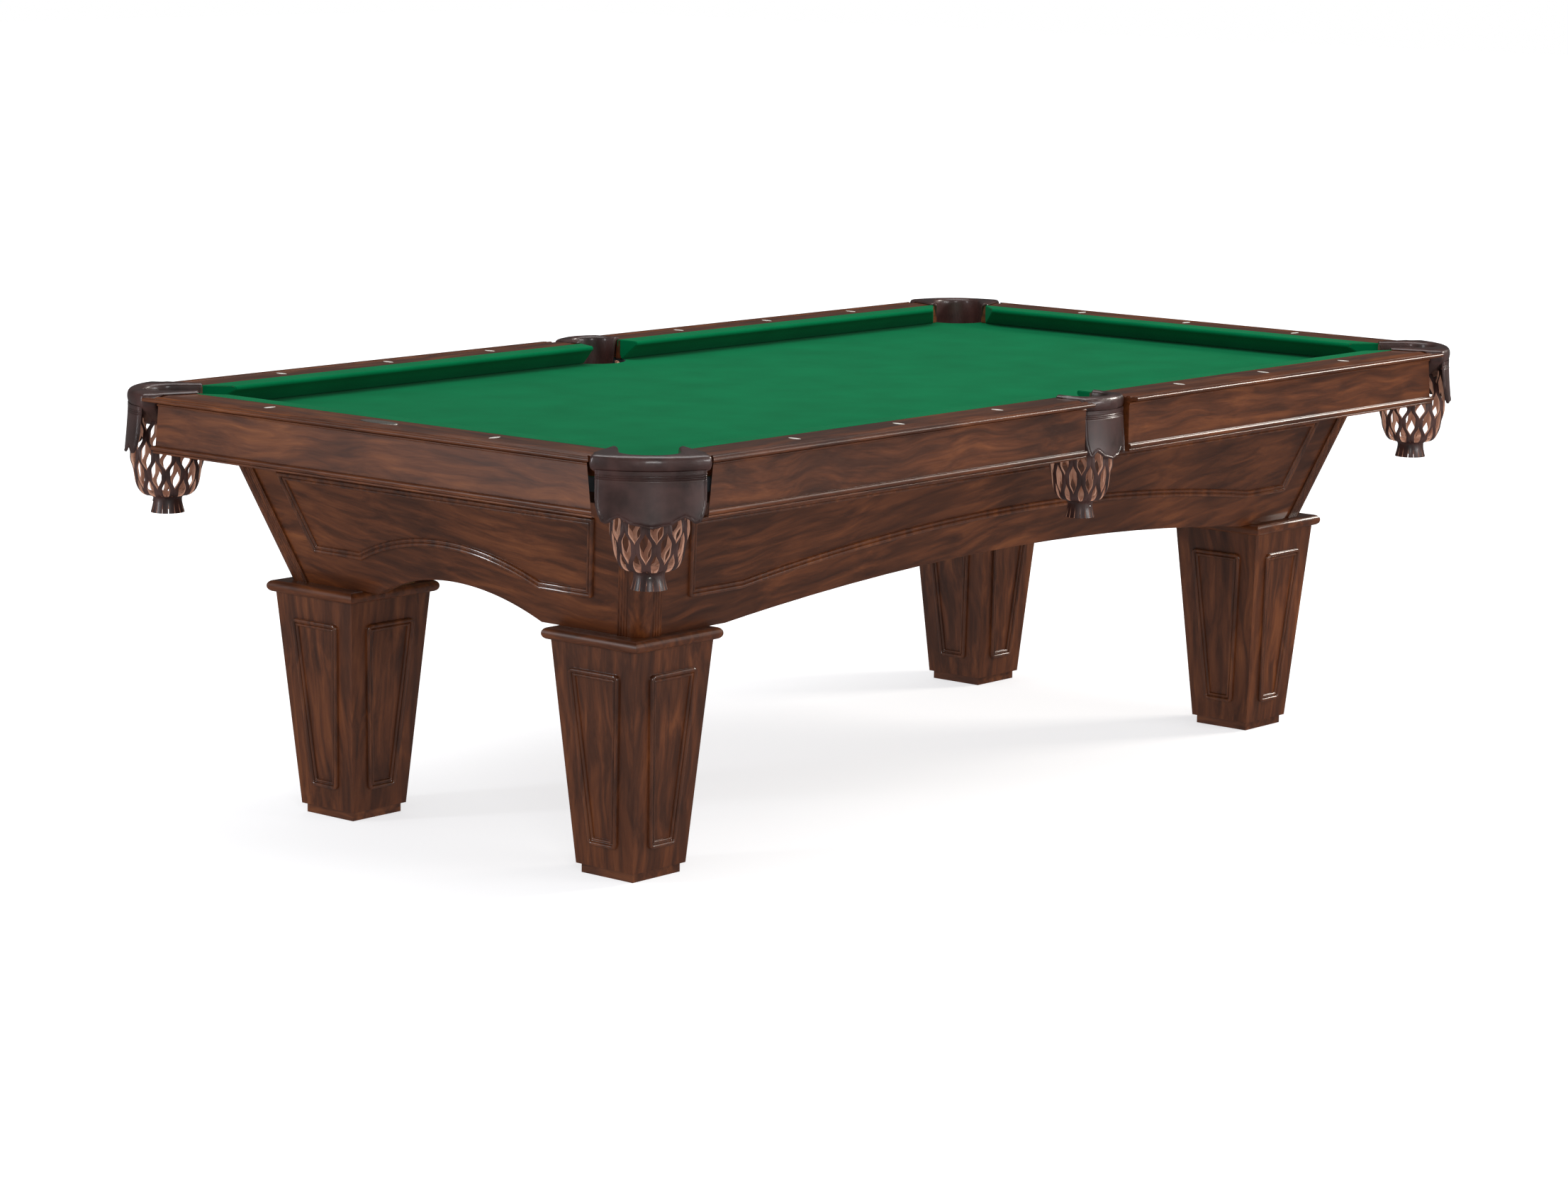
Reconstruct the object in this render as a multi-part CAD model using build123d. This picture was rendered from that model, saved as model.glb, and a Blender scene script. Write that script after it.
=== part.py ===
from build123d import *
import math
import os

# Eight-foot pool table with six drop pockets. Millimetres. The origin is on the floor under the middle
# of the bed: +X runs along the table, +Y across it and +Z up.

# ---------------------------------------------------------------- playing surface
NOSE_X = 1117.6            # cushion nose line from the centre, along the table
NOSE_Y = 558.8             # cushion nose line from the centre, across the table
BED_Z = 748.0              # top of the bed cloth
CLOTH = 1.0                # thickness of the wool cloth
SLATE = 25.4               # slate thickness
SLATE_PAST_NOSE = 95.0     # slate edge outward of the nose line
SLATE_JOINT_X = 403.0      # joints between the three slates
BACKER = 19.0              # wood glued under the slate edge, for staples and rail bolts
BACKER_WIDTH = 85.0

# ---------------------------------------------------------------- rail section, outward of the nose
RAIL_TOP = 787.4
NOSE_Z = 784.5
CUSHION_BACK = 38.0
FEATHER_IN = 44.0
FEATHER_OUT = 48.0
FEATHER_DEEP = 8.0
TOP_FLAT = 92.0            # where the flat top starts to round over
GROOVE = 112.0             # groove before the first bead
NOSING = 141.0             # outermost edge of the rail
APRON_BACK = 101.0
APRON_FACE = 120.0
APRON_LOW = 683.0
APRON_TOP = 774.5
RAIL_UNDER = 749.0
SIGHT_OUT = 80.3           # sight centres outward of the nose
SIGHT_PITCH = 279.4
SIGHT_LONG = 28.0
SIGHT_WIDE = 10.0

# ---------------------------------------------------------------- pockets
CORNER_MOUTH = 94.0        # nose point of a corner cushion, back from the meeting of the nose lines
CORNER_FACING = 61.4       # how far that cushion's end runs on by the feather strip
SIDE_MOUTH = 66.0          # nose point of a side cushion, from the table's middle
SIDE_FACING = 12.0         # how far that cushion's end closes in by the feather strip
BAND = 147.6               # corner gap between the tops of two aprons' ends, along either rail
BAND_LOW = 136.4           # the same gap at the aprons' lower edges
BEAD_BAND = 146.0          # the same gap at the rail's beads
BOARD_END = 130.0          # and at the groove, where the rail's end is hidden under the collar
SIDE_GAP = 65.0            # half the gap between two side rails
COLLAR_LOW = 764.0
COLLAR_TOP = 793.0
LINER_LOW = 727.0          # lower edge of the collar's inner wall
LEATHER = 4.0
NET_TOP = 726.0

# ---------------------------------------------------------------- cabinet
LEAN = 0.33                # outward lean of the cabinet, per mm of height
CAB_LOW = 437.0
CAB_X = 1004.6             # half length of the cabinet's faces at the leg caps
CAB_Y = 438.4
CAB_TOP = BED_Z - CLOTH - SLATE
PANEL = 22.0
CORNER_BLOCK = 70.0        # height of the blocks that the legs are bolted to
POST_PROUD = 4.0
POST_WIDE = 54.0
MOULD_PROUD = 6.0
MOULD_WIDE = 15.0

# ---------------------------------------------------------------- legs
LEG_X = 928.6
LEG_Y = 350.6
LEG_LOW = 17.0
LEG_HIGH = 415.5
LEG_LOW_HALF = 68.0
LEG_HIGH_HALF = 100.0
LEG_WALL = 19.0
CAP_HALF = 112.5
FOOT_HALF = 61.0
STUD_R = 5.0
PAD_R = 25.0

ENDS = {"head": -1, "foot": 1}       # along X
SIDES = {"left": -1, "right": 1}     # along Y
SLATE_TOP = BED_Z - CLOTH

os.makedirs("parts", exist_ok=True)


def save(name, *pieces):
    """Write one sub-part: one solid, or a group of like solids."""
    flat = []
    for piece in pieces:
        flat += piece.solids() if hasattr(piece, "solids") else [piece]
    shape = flat[0] if len(flat) == 1 else Compound(children=flat)
    export_step(shape, f"parts/{name}.step")


def box(x0, x1, y0, y1, z0, z1):
    """A plain block between two corners."""
    centre = Pos((x0 + x1) / 2, (y0 + y1) / 2, (z0 + z1) / 2)
    return centre * Box(abs(x1 - x0), abs(y1 - y0), abs(z1 - z0))


def prism(points, z0, z1):
    """An upright prism on a plan outline."""
    face = make_face(Polyline(*[(x, y) for x, y in points], close=True))
    return extrude(Pos(0, 0, z0) * face, z1 - z0)


def cylinder(x, y, z0, z1, r):
    return Pos(x, y, (z0 + z1) / 2) * Cylinder(r, z1 - z0)


def frustum(x0, y0, z0, x1, y1, z1):
    """A tapered block centred on the Z axis, from half sizes at two heights."""
    low = Pos(0, 0, z0) * Rectangle(2 * x0, 2 * y0)
    high = Pos(0, 0, z1) * Rectangle(2 * x1, 2 * y1)
    return loft([low, high])


def quarter(shape, sx, sy):
    """Carry a piece made in the +X +Y quarter to another quarter."""
    if sx < 0:
        shape = mirror(shape, Plane.YZ)
    if sy < 0:
        shape = mirror(shape, Plane.XZ)
    return shape


# ================================================================ rails, cushions, aprons
def outline(first, *steps):
    """A closed section face: a step is a point for a line, or a middle point and an end for an arc."""
    at = first
    edges = []
    for step in steps:
        if len(step) == 2 and isinstance(step[0], tuple):
            edges.append(ThreePointArc(at, step[0], step[1]))
            at = step[1]
        else:
            edges.append(Line(at, step))
            at = step
    edges.append(Line(at, first))
    return make_face(Curve() + edges)


def rail_section():
    """Hardwood rail: flat top, feather-strip groove, rounded shoulder and two beads over the apron."""
    top = RAIL_TOP
    return outline(
        (CUSHION_BACK, RAIL_UNDER),
        (APRON_BACK, RAIL_UNDER),
        (APRON_BACK, APRON_TOP),
        (APRON_FACE - 1, APRON_TOP),
        ((APRON_FACE + 3, APRON_TOP + 3), (APRON_FACE + 8, APRON_TOP + 4)),
        (NOSING - 5, APRON_TOP + 4),
        ((NOSING, APRON_TOP + 7.5), (NOSING - 5, top - 2.5)),
        ((GROOVE + 14, top - 3.2), (GROOVE + 13, top - 3.8)),
        ((GROOVE + 8, top - 0.8), (GROOVE + 1.5, top - 3)),
        (GROOVE, top - 4.4),
        ((GROOVE - 8, top - 0.9), (TOP_FLAT, top)),
        (FEATHER_OUT, top),
        (FEATHER_OUT, top - FEATHER_DEEP),
        (FEATHER_IN, top - FEATHER_DEEP),
        (FEATHER_IN, top - CLOTH),
        (CUSHION_BACK, top - CLOTH),
    )


def cushion_section():
    """Triangular rubber cushion: a sharp nose, a sloping top and an undercut face."""
    return outline(
        (CUSHION_BACK, RAIL_UNDER + 2),
        (CUSHION_BACK, RAIL_TOP - CLOTH),
        (6, NOSE_Z + 0.9),
        ((CLOTH, NOSE_Z - 3), (5, NOSE_Z - 7)),
        (34, RAIL_UNDER + 2),
    )


def cloth_section():
    """Rail cloth: from the feather-strip groove over the cushion and its nose, and under the rail."""
    top = RAIL_TOP
    return outline(
        (FEATHER_IN, top - FEATHER_DEEP),
        (FEATHER_IN + CLOTH, top - FEATHER_DEEP),
        (FEATHER_IN + CLOTH, top),
        (CUSHION_BACK, top),
        (6 - 0.1, NOSE_Z + 0.9 + CLOTH),
        ((0, NOSE_Z - 3), (5 - 0.8, NOSE_Z - 7 - 0.7)),
        (33.4, RAIL_UNDER + 1),
        (33.4, BED_Z + 0.2),
        (APRON_BACK - 30, BED_Z + 0.2),
        (APRON_BACK - 30, RAIL_UNDER),
        (CUSHION_BACK, RAIL_UNDER),
        (CUSHION_BACK, RAIL_UNDER + 2),
        (34, RAIL_UNDER + 2),
        (5, NOSE_Z - 7),
        ((CLOTH, NOSE_Z - 3), (6, NOSE_Z + 0.9)),
        (CUSHION_BACK, top - CLOTH),
        (FEATHER_IN, top - CLOTH),
    )


def feather_section():
    return outline(
        (FEATHER_IN + CLOTH, RAIL_TOP - FEATHER_DEEP),
        (FEATHER_OUT, RAIL_TOP - FEATHER_DEEP),
        (FEATHER_OUT, RAIL_TOP),
        (FEATHER_IN + CLOTH, RAIL_TOP),
    )


def apron_section():
    """Apron board: flat face with a bead under the rail, and a bead and a thin bead along the bottom."""
    face = APRON_FACE
    low = APRON_LOW
    return outline(
        (APRON_BACK, low),
        (face + 1, low),
        ((face + 3.2, low + 2.2), (face + 1, low + 4.4)),
        (face + 1, low + 5.4),
        ((face + 6.4, low + 9.6), (face + 1, low + 14)),
        (face, low + 14.4),
        (face, APRON_TOP - 4.6),
        ((face + 1.8, APRON_TOP - 2.4), (face, APRON_TOP)),
        (APRON_BACK, APRON_TOP),
    )


def along_x(section, nose, x0, x1):
    """A section that runs along X: its first axis points outward in +Y from the nose line."""
    plane = Plane(origin=(x0, nose, 0), x_dir=(0, 1, 0), z_dir=(1, 0, 0))
    return extrude(plane * section, x1 - x0)


def along_y(section, nose, y0, y1):
    """A section that runs along Y: its first axis points outward in +X from the nose line."""
    plane = Plane(origin=(nose, y0, 0), x_dir=(1, 0, 0), z_dir=(0, -1, 0))
    return extrude(plane * section, -(y1 - y0))


# Plan of a side rail's space in its own quarter: along the rail from the table's middle, outward of the
# nose. The corner end follows the cushion facing, then the wood, then the 45 degree corner gap.
FACING_END = NOSE_X - CORNER_MOUTH + CORNER_FACING
WIDE = NOSING + 20

SIDE_CUSHION_PLAN = [
    (SIDE_MOUTH, -1),
    (SIDE_MOUTH - SIDE_FACING, FEATHER_OUT),
    (SIDE_MOUTH - SIDE_FACING, WIDE),
    (FACING_END, WIDE),
    (FACING_END, FEATHER_OUT),
    (NOSE_X - CORNER_MOUTH, -1),
]
SIDE_WOOD_PLAN = [
    (SIDE_MOUTH - SIDE_FACING, 0),
    (SIDE_MOUTH - SIDE_FACING, FEATHER_OUT),
    (SIDE_GAP, FEATHER_OUT + 14),
    (SIDE_GAP, WIDE),
    (NOSE_X + WIDE - BEAD_BAND, WIDE),
    (NOSE_X + GROOVE + 3 - BEAD_BAND, GROOVE + 3),
    (NOSE_X + GROOVE - BOARD_END, GROOVE),
    (FACING_END, FEATHER_OUT),
    (FACING_END, 0),
]


def apron_plan(gap):
    """The plan of a side apron, which ends on the 45 degree line of a corner gap."""
    return [
        (SIDE_GAP + 2, 0),
        (SIDE_GAP + 2, WIDE),
        (NOSE_X + WIDE - gap, WIDE),
        (NOSE_X - gap, 0),
    ]


PLAN_LOW = 600.0
PLAN_HIGH = 820.0


def side_ring(points):
    return [(s, NOSE_Y + t) for s, t in points]


def end_ring(points):
    """The corner half of a side plan, turned onto an end rail and mirrored about the table's middle."""
    shift = NOSE_X - NOSE_Y
    half = [(s - shift, t) for s, t in points if s > NOSE_X / 2]
    ring = [(NOSE_X + t, s) for s, t in half]
    ring += [(NOSE_X + t, -s) for s, t in reversed(half)]
    return ring


def side_plan(points):
    return prism(side_ring(points), PLAN_LOW, PLAN_HIGH)


def end_plan(points):
    return prism(end_ring(points), PLAN_LOW, PLAN_HIGH)


# Sights: three on each side rail and three on each end rail, where a plate takes one end's middle place.
SIDE_SIGHTS = [k * SIGHT_PITCH for k in (1, 2, 3)]
END_SIGHTS = [k * SIGHT_PITCH for k in (-1, 0, 1)]


def sight(x, y, across):
    """A pointed oval, longer across the rail, let into its top and 0.3 mm proud."""
    half = SIGHT_LONG / 2
    wide = SIGHT_WIDE / 2
    shape = make_face([
        ThreePointArc((-half, 0), (0, wide), (half, 0)),
        ThreePointArc((half, 0), (0, -wide), (-half, 0)),
    ])
    turn = 90 if across == "y" else 0
    return extrude(Location((x, y, RAIL_TOP - 1.6), (0, 0, turn)) * shape, 1.9)


def name_plate():
    """A blank oval plate, longer along the near end rail."""
    plate = Ellipse(15, 44)
    at = Pos(-NOSE_X - SIGHT_OUT, 0, RAIL_TOP - 1.6)
    body = extrude(at * plate, 2.4)
    return chamfer(body.edges().sort_by(Axis.Z)[-1], 0.6)


# Rail bolts come up through the backer, slate and cloth into each rail.
SIDE_BOLTS = [190, 560, 930]
END_BOLTS = [-330, 0, 330]
BOLT_OUT = 68.0
BOLT_R = 5.0
HEAD = 6.4                 # a bolt head's thickness
HEAD_R = 9.8               # and the radius to its corners
WASHER = 2.0
WASHER_R = 14.0


def bolt_spots():
    spots = []
    for sy in (1, -1):
        for sx in (1, -1):
            spots += [(sx * s, sy * (NOSE_Y + BOLT_OUT)) for s in SIDE_BOLTS]
    for sx in (1, -1):
        spots += [(sx * (NOSE_X + BOLT_OUT), s) for s in END_BOLTS]
    return spots


def bolt_holes(z0, z1, r):
    return [cylinder(x, y, z0, z1, r) for x, y in bolt_spots()]


BOLT_TIP = 778.0
BOLT_HEAD_TOP = CAB_TOP - BACKER


def rails(irons):
    side_wood = along_x(rail_section(), NOSE_Y, 0, NOSE_X + WIDE) & side_plan(SIDE_WOOD_PLAN)
    end_wood = along_y(rail_section(), NOSE_X, -NOSE_Y - WIDE, NOSE_Y + WIDE)
    end_wood &= end_plan(SIDE_WOOD_PLAN)
    sights = []
    for sx in (1, -1):
        for sy in (1, -1):
            sights += [sight(sx * s, sy * (NOSE_Y + SIGHT_OUT), "y") for s in SIDE_SIGHTS]
        sights += [sight(sx * (NOSE_X + SIGHT_OUT), s, "x") for s in END_SIGHTS if sx > 0 or s]
    plate = name_plate()
    holes = bolt_holes(RAIL_UNDER - 5, BOLT_TIP, BOLT_R)
    cuts = sights + [plate] + holes + irons
    for end, sx in ENDS.items():
        for side, sy in SIDES.items():
            rail = quarter(side_wood, sx, sy)
            save(f"rail_{side}_{end}", rail - near(cuts, rail))
        rail = quarter(end_wood, sx, 1)
        save(f"rail_{end}", rail - near(cuts, rail))
    save("rail_sights", *sights)
    save("rail_plate", plate)


def near(tools, shape):
    """The tools whose boxes meet a shape's box, so that no cut is tried where nothing is."""
    room = shape.bounding_box()
    out = []
    for tool in tools:
        b = tool.bounding_box()
        meets = (b.min.X < room.max.X and b.max.X > room.min.X
                 and b.min.Y < room.max.Y and b.max.Y > room.min.Y
                 and b.min.Z < room.max.Z and b.max.Z > room.min.Z)
        if meets:
            out.append(tool)
    return out


def soft_rails():
    """Cushions, the cloth over them and the feather strips that hold the cloth."""
    for name, section in (("cushion", cushion_section), ("cloth", cloth_section), ("strip", feather_section)):
        side = along_x(section(), NOSE_Y, 0, NOSE_X + WIDE) & side_plan(SIDE_CUSHION_PLAN)
        end = along_y(section(), NOSE_X, -NOSE_Y - WIDE, NOSE_Y + WIDE)
        end &= end_plan(SIDE_CUSHION_PLAN)
        if name == "cloth":
            holes = bolt_holes(BED_Z - 5, RAIL_UNDER + 5, BOLT_R)
            side -= near(holes, side)
            end -= near(holes, end)
        group = []
        for end_name, sx in ENDS.items():
            for side_name, sy in SIDES.items():
                group.append((f"{side_name}_{end_name}", quarter(side, sx, sy)))
            group.append((end_name, quarter(end, sx, 1)))
        if name == "cushion":
            for label, piece in group:
                save(f"cushion_{label}", piece)
        else:
            save({"cloth": "rail_cloth", "strip": "feather_strips"}[name], *[p for _, p in group])


def tapered(ring_of_gap):
    """The space between two plans, one for each end of the aprons' slanting ends."""
    slope = (BAND - BAND_LOW) / (APRON_TOP - APRON_LOW)
    low = BAND_LOW - slope * (APRON_LOW - PLAN_LOW)
    high = BAND + slope * (PLAN_HIGH - APRON_TOP)
    faces = []
    for gap, z in ((low, PLAN_LOW), (high, PLAN_HIGH)):
        ring = ring_of_gap(apron_plan(gap))
        faces.append(Pos(0, 0, z) * make_face(Polyline(*ring, close=True)))
    return loft(faces, ruled=True)


def aprons():
    """Apron boards, whose ends come nearer each other towards the floor."""
    side = along_x(apron_section(), NOSE_Y, 0, NOSE_X + WIDE) & tapered(side_ring)
    end = along_y(apron_section(), NOSE_X, -NOSE_Y - WIDE, NOSE_Y + WIDE) & tapered(end_ring)
    save("side_aprons", *[quarter(side, sx, sy) for sx in (-1, 1) for sy in (-1, 1)])
    save("end_aprons", end, quarter(end, -1, 1))


# ================================================================ bed
CORNER_DIAG = 58.0         # pocket centre outward of the meeting of the nose lines, along the diagonal
SIDE_OUT = 62.0            # pocket centre outward of the nose line
NET_R = 62.0
SLATE_HOLE = NET_R + 3.0


def corner_place(sx, sy):
    """Local frame of a corner pocket: +Y runs outward along the diagonal, from the nose lines' meeting."""
    turn = {(1, 1): -45, (-1, 1): 45, (-1, -1): 135, (1, -1): -135}[(sx, sy)]
    return Location((sx * NOSE_X, sy * NOSE_Y, 0), (0, 0, turn))


def side_place(sy):
    """Local frame of a side pocket: +Y runs outward from the nose line."""
    return Location((0, sy * NOSE_Y, 0), (0, 0, 0 if sy > 0 else 180))


def pocket_places():
    """Every pocket: its name, its local frame, whether it is a corner, and its centre's distance out."""
    places = []
    for end, sx in ENDS.items():
        for side, sy in SIDES.items():
            places.append((f"{side}_{end}", corner_place(sx, sy), True, CORNER_DIAG))
    for side, sy in SIDES.items():
        places.append((f"{side}_middle", side_place(sy), False, SIDE_OUT))
    return places


def pocket_bite(z0, z1, r):
    """What the pockets take out of the bed: a round hole that runs on outward past the edge."""
    bites = []
    for _, place, corner, out in pocket_places():
        half = r + 8 if corner else r
        slot = box(-half, half, out, out + 160, z0, z1)
        bites.append(place * (cylinder(0, out, z0, z1, r) + slot))
    return bites


def bed():
    """Three slates, the backer glued under their edge, and the cloth stretched over all three."""
    x1 = NOSE_X + SLATE_PAST_NOSE
    y1 = NOSE_Y + SLATE_PAST_NOSE
    z0 = SLATE_TOP - SLATE
    bites = pocket_bite(600, 820, SLATE_HOLE)
    holes = bolt_holes(BOLT_HEAD_TOP, BED_Z + 5, BOLT_R + 1)
    screws = slate_screws()
    save("slate_screws", *screws)
    cells = (("slate_head", -x1, -SLATE_JOINT_X), ("slate_middle", -SLATE_JOINT_X, SLATE_JOINT_X),
             ("slate_foot", SLATE_JOINT_X, x1))
    for name, a, b in cells:
        slate = box(a, b, -y1, y1, z0, SLATE_TOP)
        save(name, slate - near(bites + holes + screws, slate))
    cloth = box(-x1, x1, -y1, y1, SLATE_TOP, BED_Z)
    save("bed_cloth", cloth - near(bites + holes, cloth))
    ring = box(-x1 + 3, x1 - 3, -y1 + 3, y1 - 3, z0 - BACKER, z0)
    ring -= box(-x1 + BACKER_WIDTH, x1 - BACKER_WIDTH, -y1 + BACKER_WIDTH, y1 - BACKER_WIDTH, z0 - BACKER, z0)
    ring -= near(bites + holes, ring)
    save("slate_backer", ring)
    bolts = []
    for x, y in bolt_spots():
        washer_low = BOLT_HEAD_TOP - WASHER
        washer = cylinder(x, y, washer_low, BOLT_HEAD_TOP, WASHER_R)
        washer -= cylinder(x, y, washer_low, BOLT_HEAD_TOP, BOLT_R)
        bolt = cylinder(x, y, washer_low, BOLT_TIP, BOLT_R)
        bolt += extrude(Pos(x, y, washer_low - HEAD) * RegularPolygon(HEAD_R, 6), HEAD)
        bolts += [bolt, washer]
    save("rail_bolts", *bolts)


def slate_screws():
    """Countersunk screws that hold the slates to the cabinet top, two in each side of each slate."""
    screws = []
    tip = CAB_TOP - 20
    for x in (-950, -560, -300, 300, 560, 950):
        for sy in (-1, 1):
            y = sy * (CAB_Y + LEAN * (tip - CAB_LOW) - PANEL / 2)
            cone = Pos(x, y, SLATE_TOP - 2.5) * Cone(3, 5.5, 5)
            screws.append(cone + cylinder(x, y, tip, SLATE_TOP - 5, 3))
    return screws


# ================================================================ cabinet
def cabinet_shell(inset, z0, z1):
    """The cabinet's leaning box, moved in by an inset, between two heights."""
    grow0 = LEAN * (z0 - CAB_LOW) - inset
    grow1 = LEAN * (z1 - CAB_LOW) - inset
    return frustum(CAB_X + grow0, CAB_Y + grow0, z0, CAB_X + grow1, CAB_Y + grow1, z1)


SIDE_ARCH = (785.0, 47.0)       # half chord and rise of the arch under a side panel
END_ARCH = (205.0, 49.0)
SIDE_FRAME = (906.0, 770.0, 500.0, 55.0)   # half length, kink, lower edge and arch rise of the moulding
END_FRAME = (348.0, 222.0, 500.0, 49.0)
FRAME_TOP = 650.0


def arch_cut(half, rise, along):
    """The prism under an arch, which goes right through both panels of a pair."""
    z0 = CAB_LOW
    arc = ThreePointArc((-half, z0), (0, z0 + rise), (half, z0))
    face = make_face([arc, Line((half, z0), (half, z0 - 60)), Line((half, z0 - 60), (-half, z0 - 60)),
                      Line((-half, z0 - 60), (-half, z0))])
    plane = Plane.XZ if along == "x" else Plane.YZ
    return extrude(plane * face, 2000, both=True)


def moulding_face(frame, inset):
    """The outline of a panel moulding, seen square on, moved in by an inset."""
    half, kink, low, rise = frame
    low += inset
    top = FRAME_TOP - inset
    side_top = half + LEAN * (FRAME_TOP - low) - inset
    half -= inset
    arc = ThreePointArc((-kink, low), (0, low + rise), (kink, low))
    return make_face([
        arc, Line((kink, low), (half, low)), Line((half, low), (side_top, top)),
        Line((side_top, top), (-side_top, top)), Line((-side_top, top), (-half, low)),
        Line((-half, low), (-kink, low)),
    ])


def moulding(frame, along):
    """A two-bead frame on a leaning panel: a wide bead outside, a step and a thin bead inside."""
    plane = Plane.XZ if along == "x" else Plane.YZ

    def layer(inset, width, proud):
        ring = extrude(plane * moulding_face(frame, inset), 2000, both=True)
        ring -= extrude(plane * moulding_face(frame, inset + width), 2000, both=True)
        skin = cabinet_shell(-proud, CAB_LOW, CAB_TOP) - cabinet_shell(0, CAB_LOW, CAB_TOP)
        return ring & skin

    parts = layer(0, 9, MOULD_PROUD) + layer(1.5, 6, MOULD_PROUD + 1.6)
    parts += layer(9, MOULD_WIDE - 9, 3) + layer(11, 3, 4.4)
    keep = []
    for solid in parts.solids():
        centre = solid.center()
        sideways = abs(centre.Y) > CAB_Y - 60 and abs(centre.X) < 60
        endways = abs(centre.X) > CAB_X - 60 and abs(centre.Y) < 60
        if (along == "x" and sideways) or (along == "y" and endways):
            keep.append(solid)
    return keep


def corner_post():
    """Leaning corner post of the +X +Y corner: a rounded outer corner between two sets of three reeds."""
    w = POST_WIDE
    reach = POST_PROUD
    deep = PANEL + POST_PROUD
    corner_r = 28.0
    body = box(-w, 0, -w, 0, 0, 1) - box(-w, -deep, -w, -deep, 0, 1)
    face = body.faces().sort_by(Axis.Z)[0]
    face = make_face(face.outer_wire())
    tools = []
    for k in range(4):
        at = -w + 3.2 + k * 6.4
        tools.append(Pos(at, 0.6) * Circle(1.9))
        tools.append(Pos(0.6, at) * Circle(1.9))
    face = fillet(face.vertices().sort_by(lambda v: -v.X - v.Y)[0], corner_r)
    for tool in tools:
        face = face - tool
    x0 = CAB_X + reach
    y0 = CAB_Y + reach
    height = CAB_TOP - CAB_LOW
    lean = Vector(LEAN, LEAN, 1)
    flat = face if isinstance(face, Face) else face.faces()[0]
    return extrude(Pos(x0, y0, CAB_LOW) * flat, height * lean.length, dir=lean)


def cabinet():
    shell = cabinet_shell(0, CAB_LOW, CAB_TOP) - cabinet_shell(PANEL, CAB_LOW - 1, CAB_TOP + 1)
    post = corner_post()
    posts = [quarter(post, sx, sy) for sx in (-1, 1) for sy in (-1, 1)]
    far = 1500
    corner = CAB_X - CAB_Y
    # upright mitre planes through the leaning corners divide the shell into four boards
    side_wedge = prism([(-far, far - corner), (-corner, 0), (corner, 0), (far, far - corner)], 400, 800)
    screws = slate_screws()
    side = (shell & side_wedge) - posts - arch_cut(*SIDE_ARCH, "x")
    end_wedge = prism([(corner, 0), (far, far - corner), (far, corner - far)], 400, 800)
    end = (shell & end_wedge) - posts - arch_cut(*END_ARCH, "y")
    for side_name, sy in SIDES.items():
        board = biggest(quarter(side, 1, sy))
        save(f"cabinet_{side_name}", board - near(screws, board))
    for end_name, sx in ENDS.items():
        save(f"cabinet_{end_name}", biggest(quarter(end, sx, 1)))
    save("cabinet_posts", *posts)
    save("panel_mouldings", *moulding(SIDE_FRAME, "x"), *moulding(END_FRAME, "y"))
    inner = cabinet_shell(PANEL, CAB_LOW, CAB_TOP)
    blocks = []
    for sx in (-1, 1):
        for sy in (-1, 1):
            raw = box(LEG_X - 90, LEG_X + 60, LEG_Y - 70, LEG_Y + 60, CAB_LOW, CAB_LOW + CORNER_BLOCK)
            raw = quarter(raw, sx, sy)
            raw &= inner
            for dx, dy in LEG_BOLTS:
                raw -= cylinder(sx * (LEG_X + dx), sy * (LEG_Y + dy), 400, 600, BOLT_R)
            blocks.append(raw)
    save("corner_blocks", *blocks)
    save("bed_beams", *beams(inner))


def biggest(shape):
    return sorted(shape.solids(), key=lambda s: s.volume)[-1]


def beams(inner):
    """Two long beams and five cross beams, half-lapped, with their tops level under the slate."""
    deep = 95.0
    half = 22.0
    z0 = CAB_TOP - deep
    mid = CAB_TOP - deep / 2
    long_y = 230.0
    cross_x = [-840, -SLATE_JOINT_X, 0, SLATE_JOINT_X, 840]
    out = []
    for y in (-long_y, long_y):
        beam = box(-1200, 1200, y - half, y + half, z0, CAB_TOP) & inner
        for x in cross_x:
            beam -= box(x - half, x + half, y - half, y + half, mid, CAB_TOP)
        out.append(beam)
    for x in cross_x:
        beam = box(x - half, x + half, -600, 600, z0, CAB_TOP) & inner
        for y in (-long_y, long_y):
            beam -= box(x - half, x + half, y - half, y + half, z0, mid)
        out.append(beam)
    return out


# ================================================================ legs
LEG_BOLTS = [(-40, 0), (30, 0)]           # from the leg's axis
LEG_FRAME = (61.0, 372.0, 34.0, 56.0)     # half width and height of the moulding's top, then its foot
FRAME_WIDE = 15.0


def leg_half(z):
    t = (z - LEG_LOW) / (LEG_HIGH - LEG_LOW)
    return LEG_LOW_HALF + t * (LEG_HIGH_HALF - LEG_LOW_HALF)


def leg_block(inset, z0, z1):
    low = leg_half(z0) - inset
    high = leg_half(z1) - inset
    return frustum(low, low, z0, high, high, z1)


def leg_frame_face(inset):
    """Outline of a leg's panel frame with rounded corners, seen square on."""
    top_half, top, low_half, low = LEG_FRAME
    r = max(10.0 - inset, 1.5)
    points = [(-top_half + inset, top - inset), (top_half - inset, top - inset),
              (low_half - inset * 0.9, low + inset), (-low_half + inset * 0.9, low + inset)]
    face = make_face(Polyline(*points, close=True))
    return fillet(face.vertices(), r)


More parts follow.
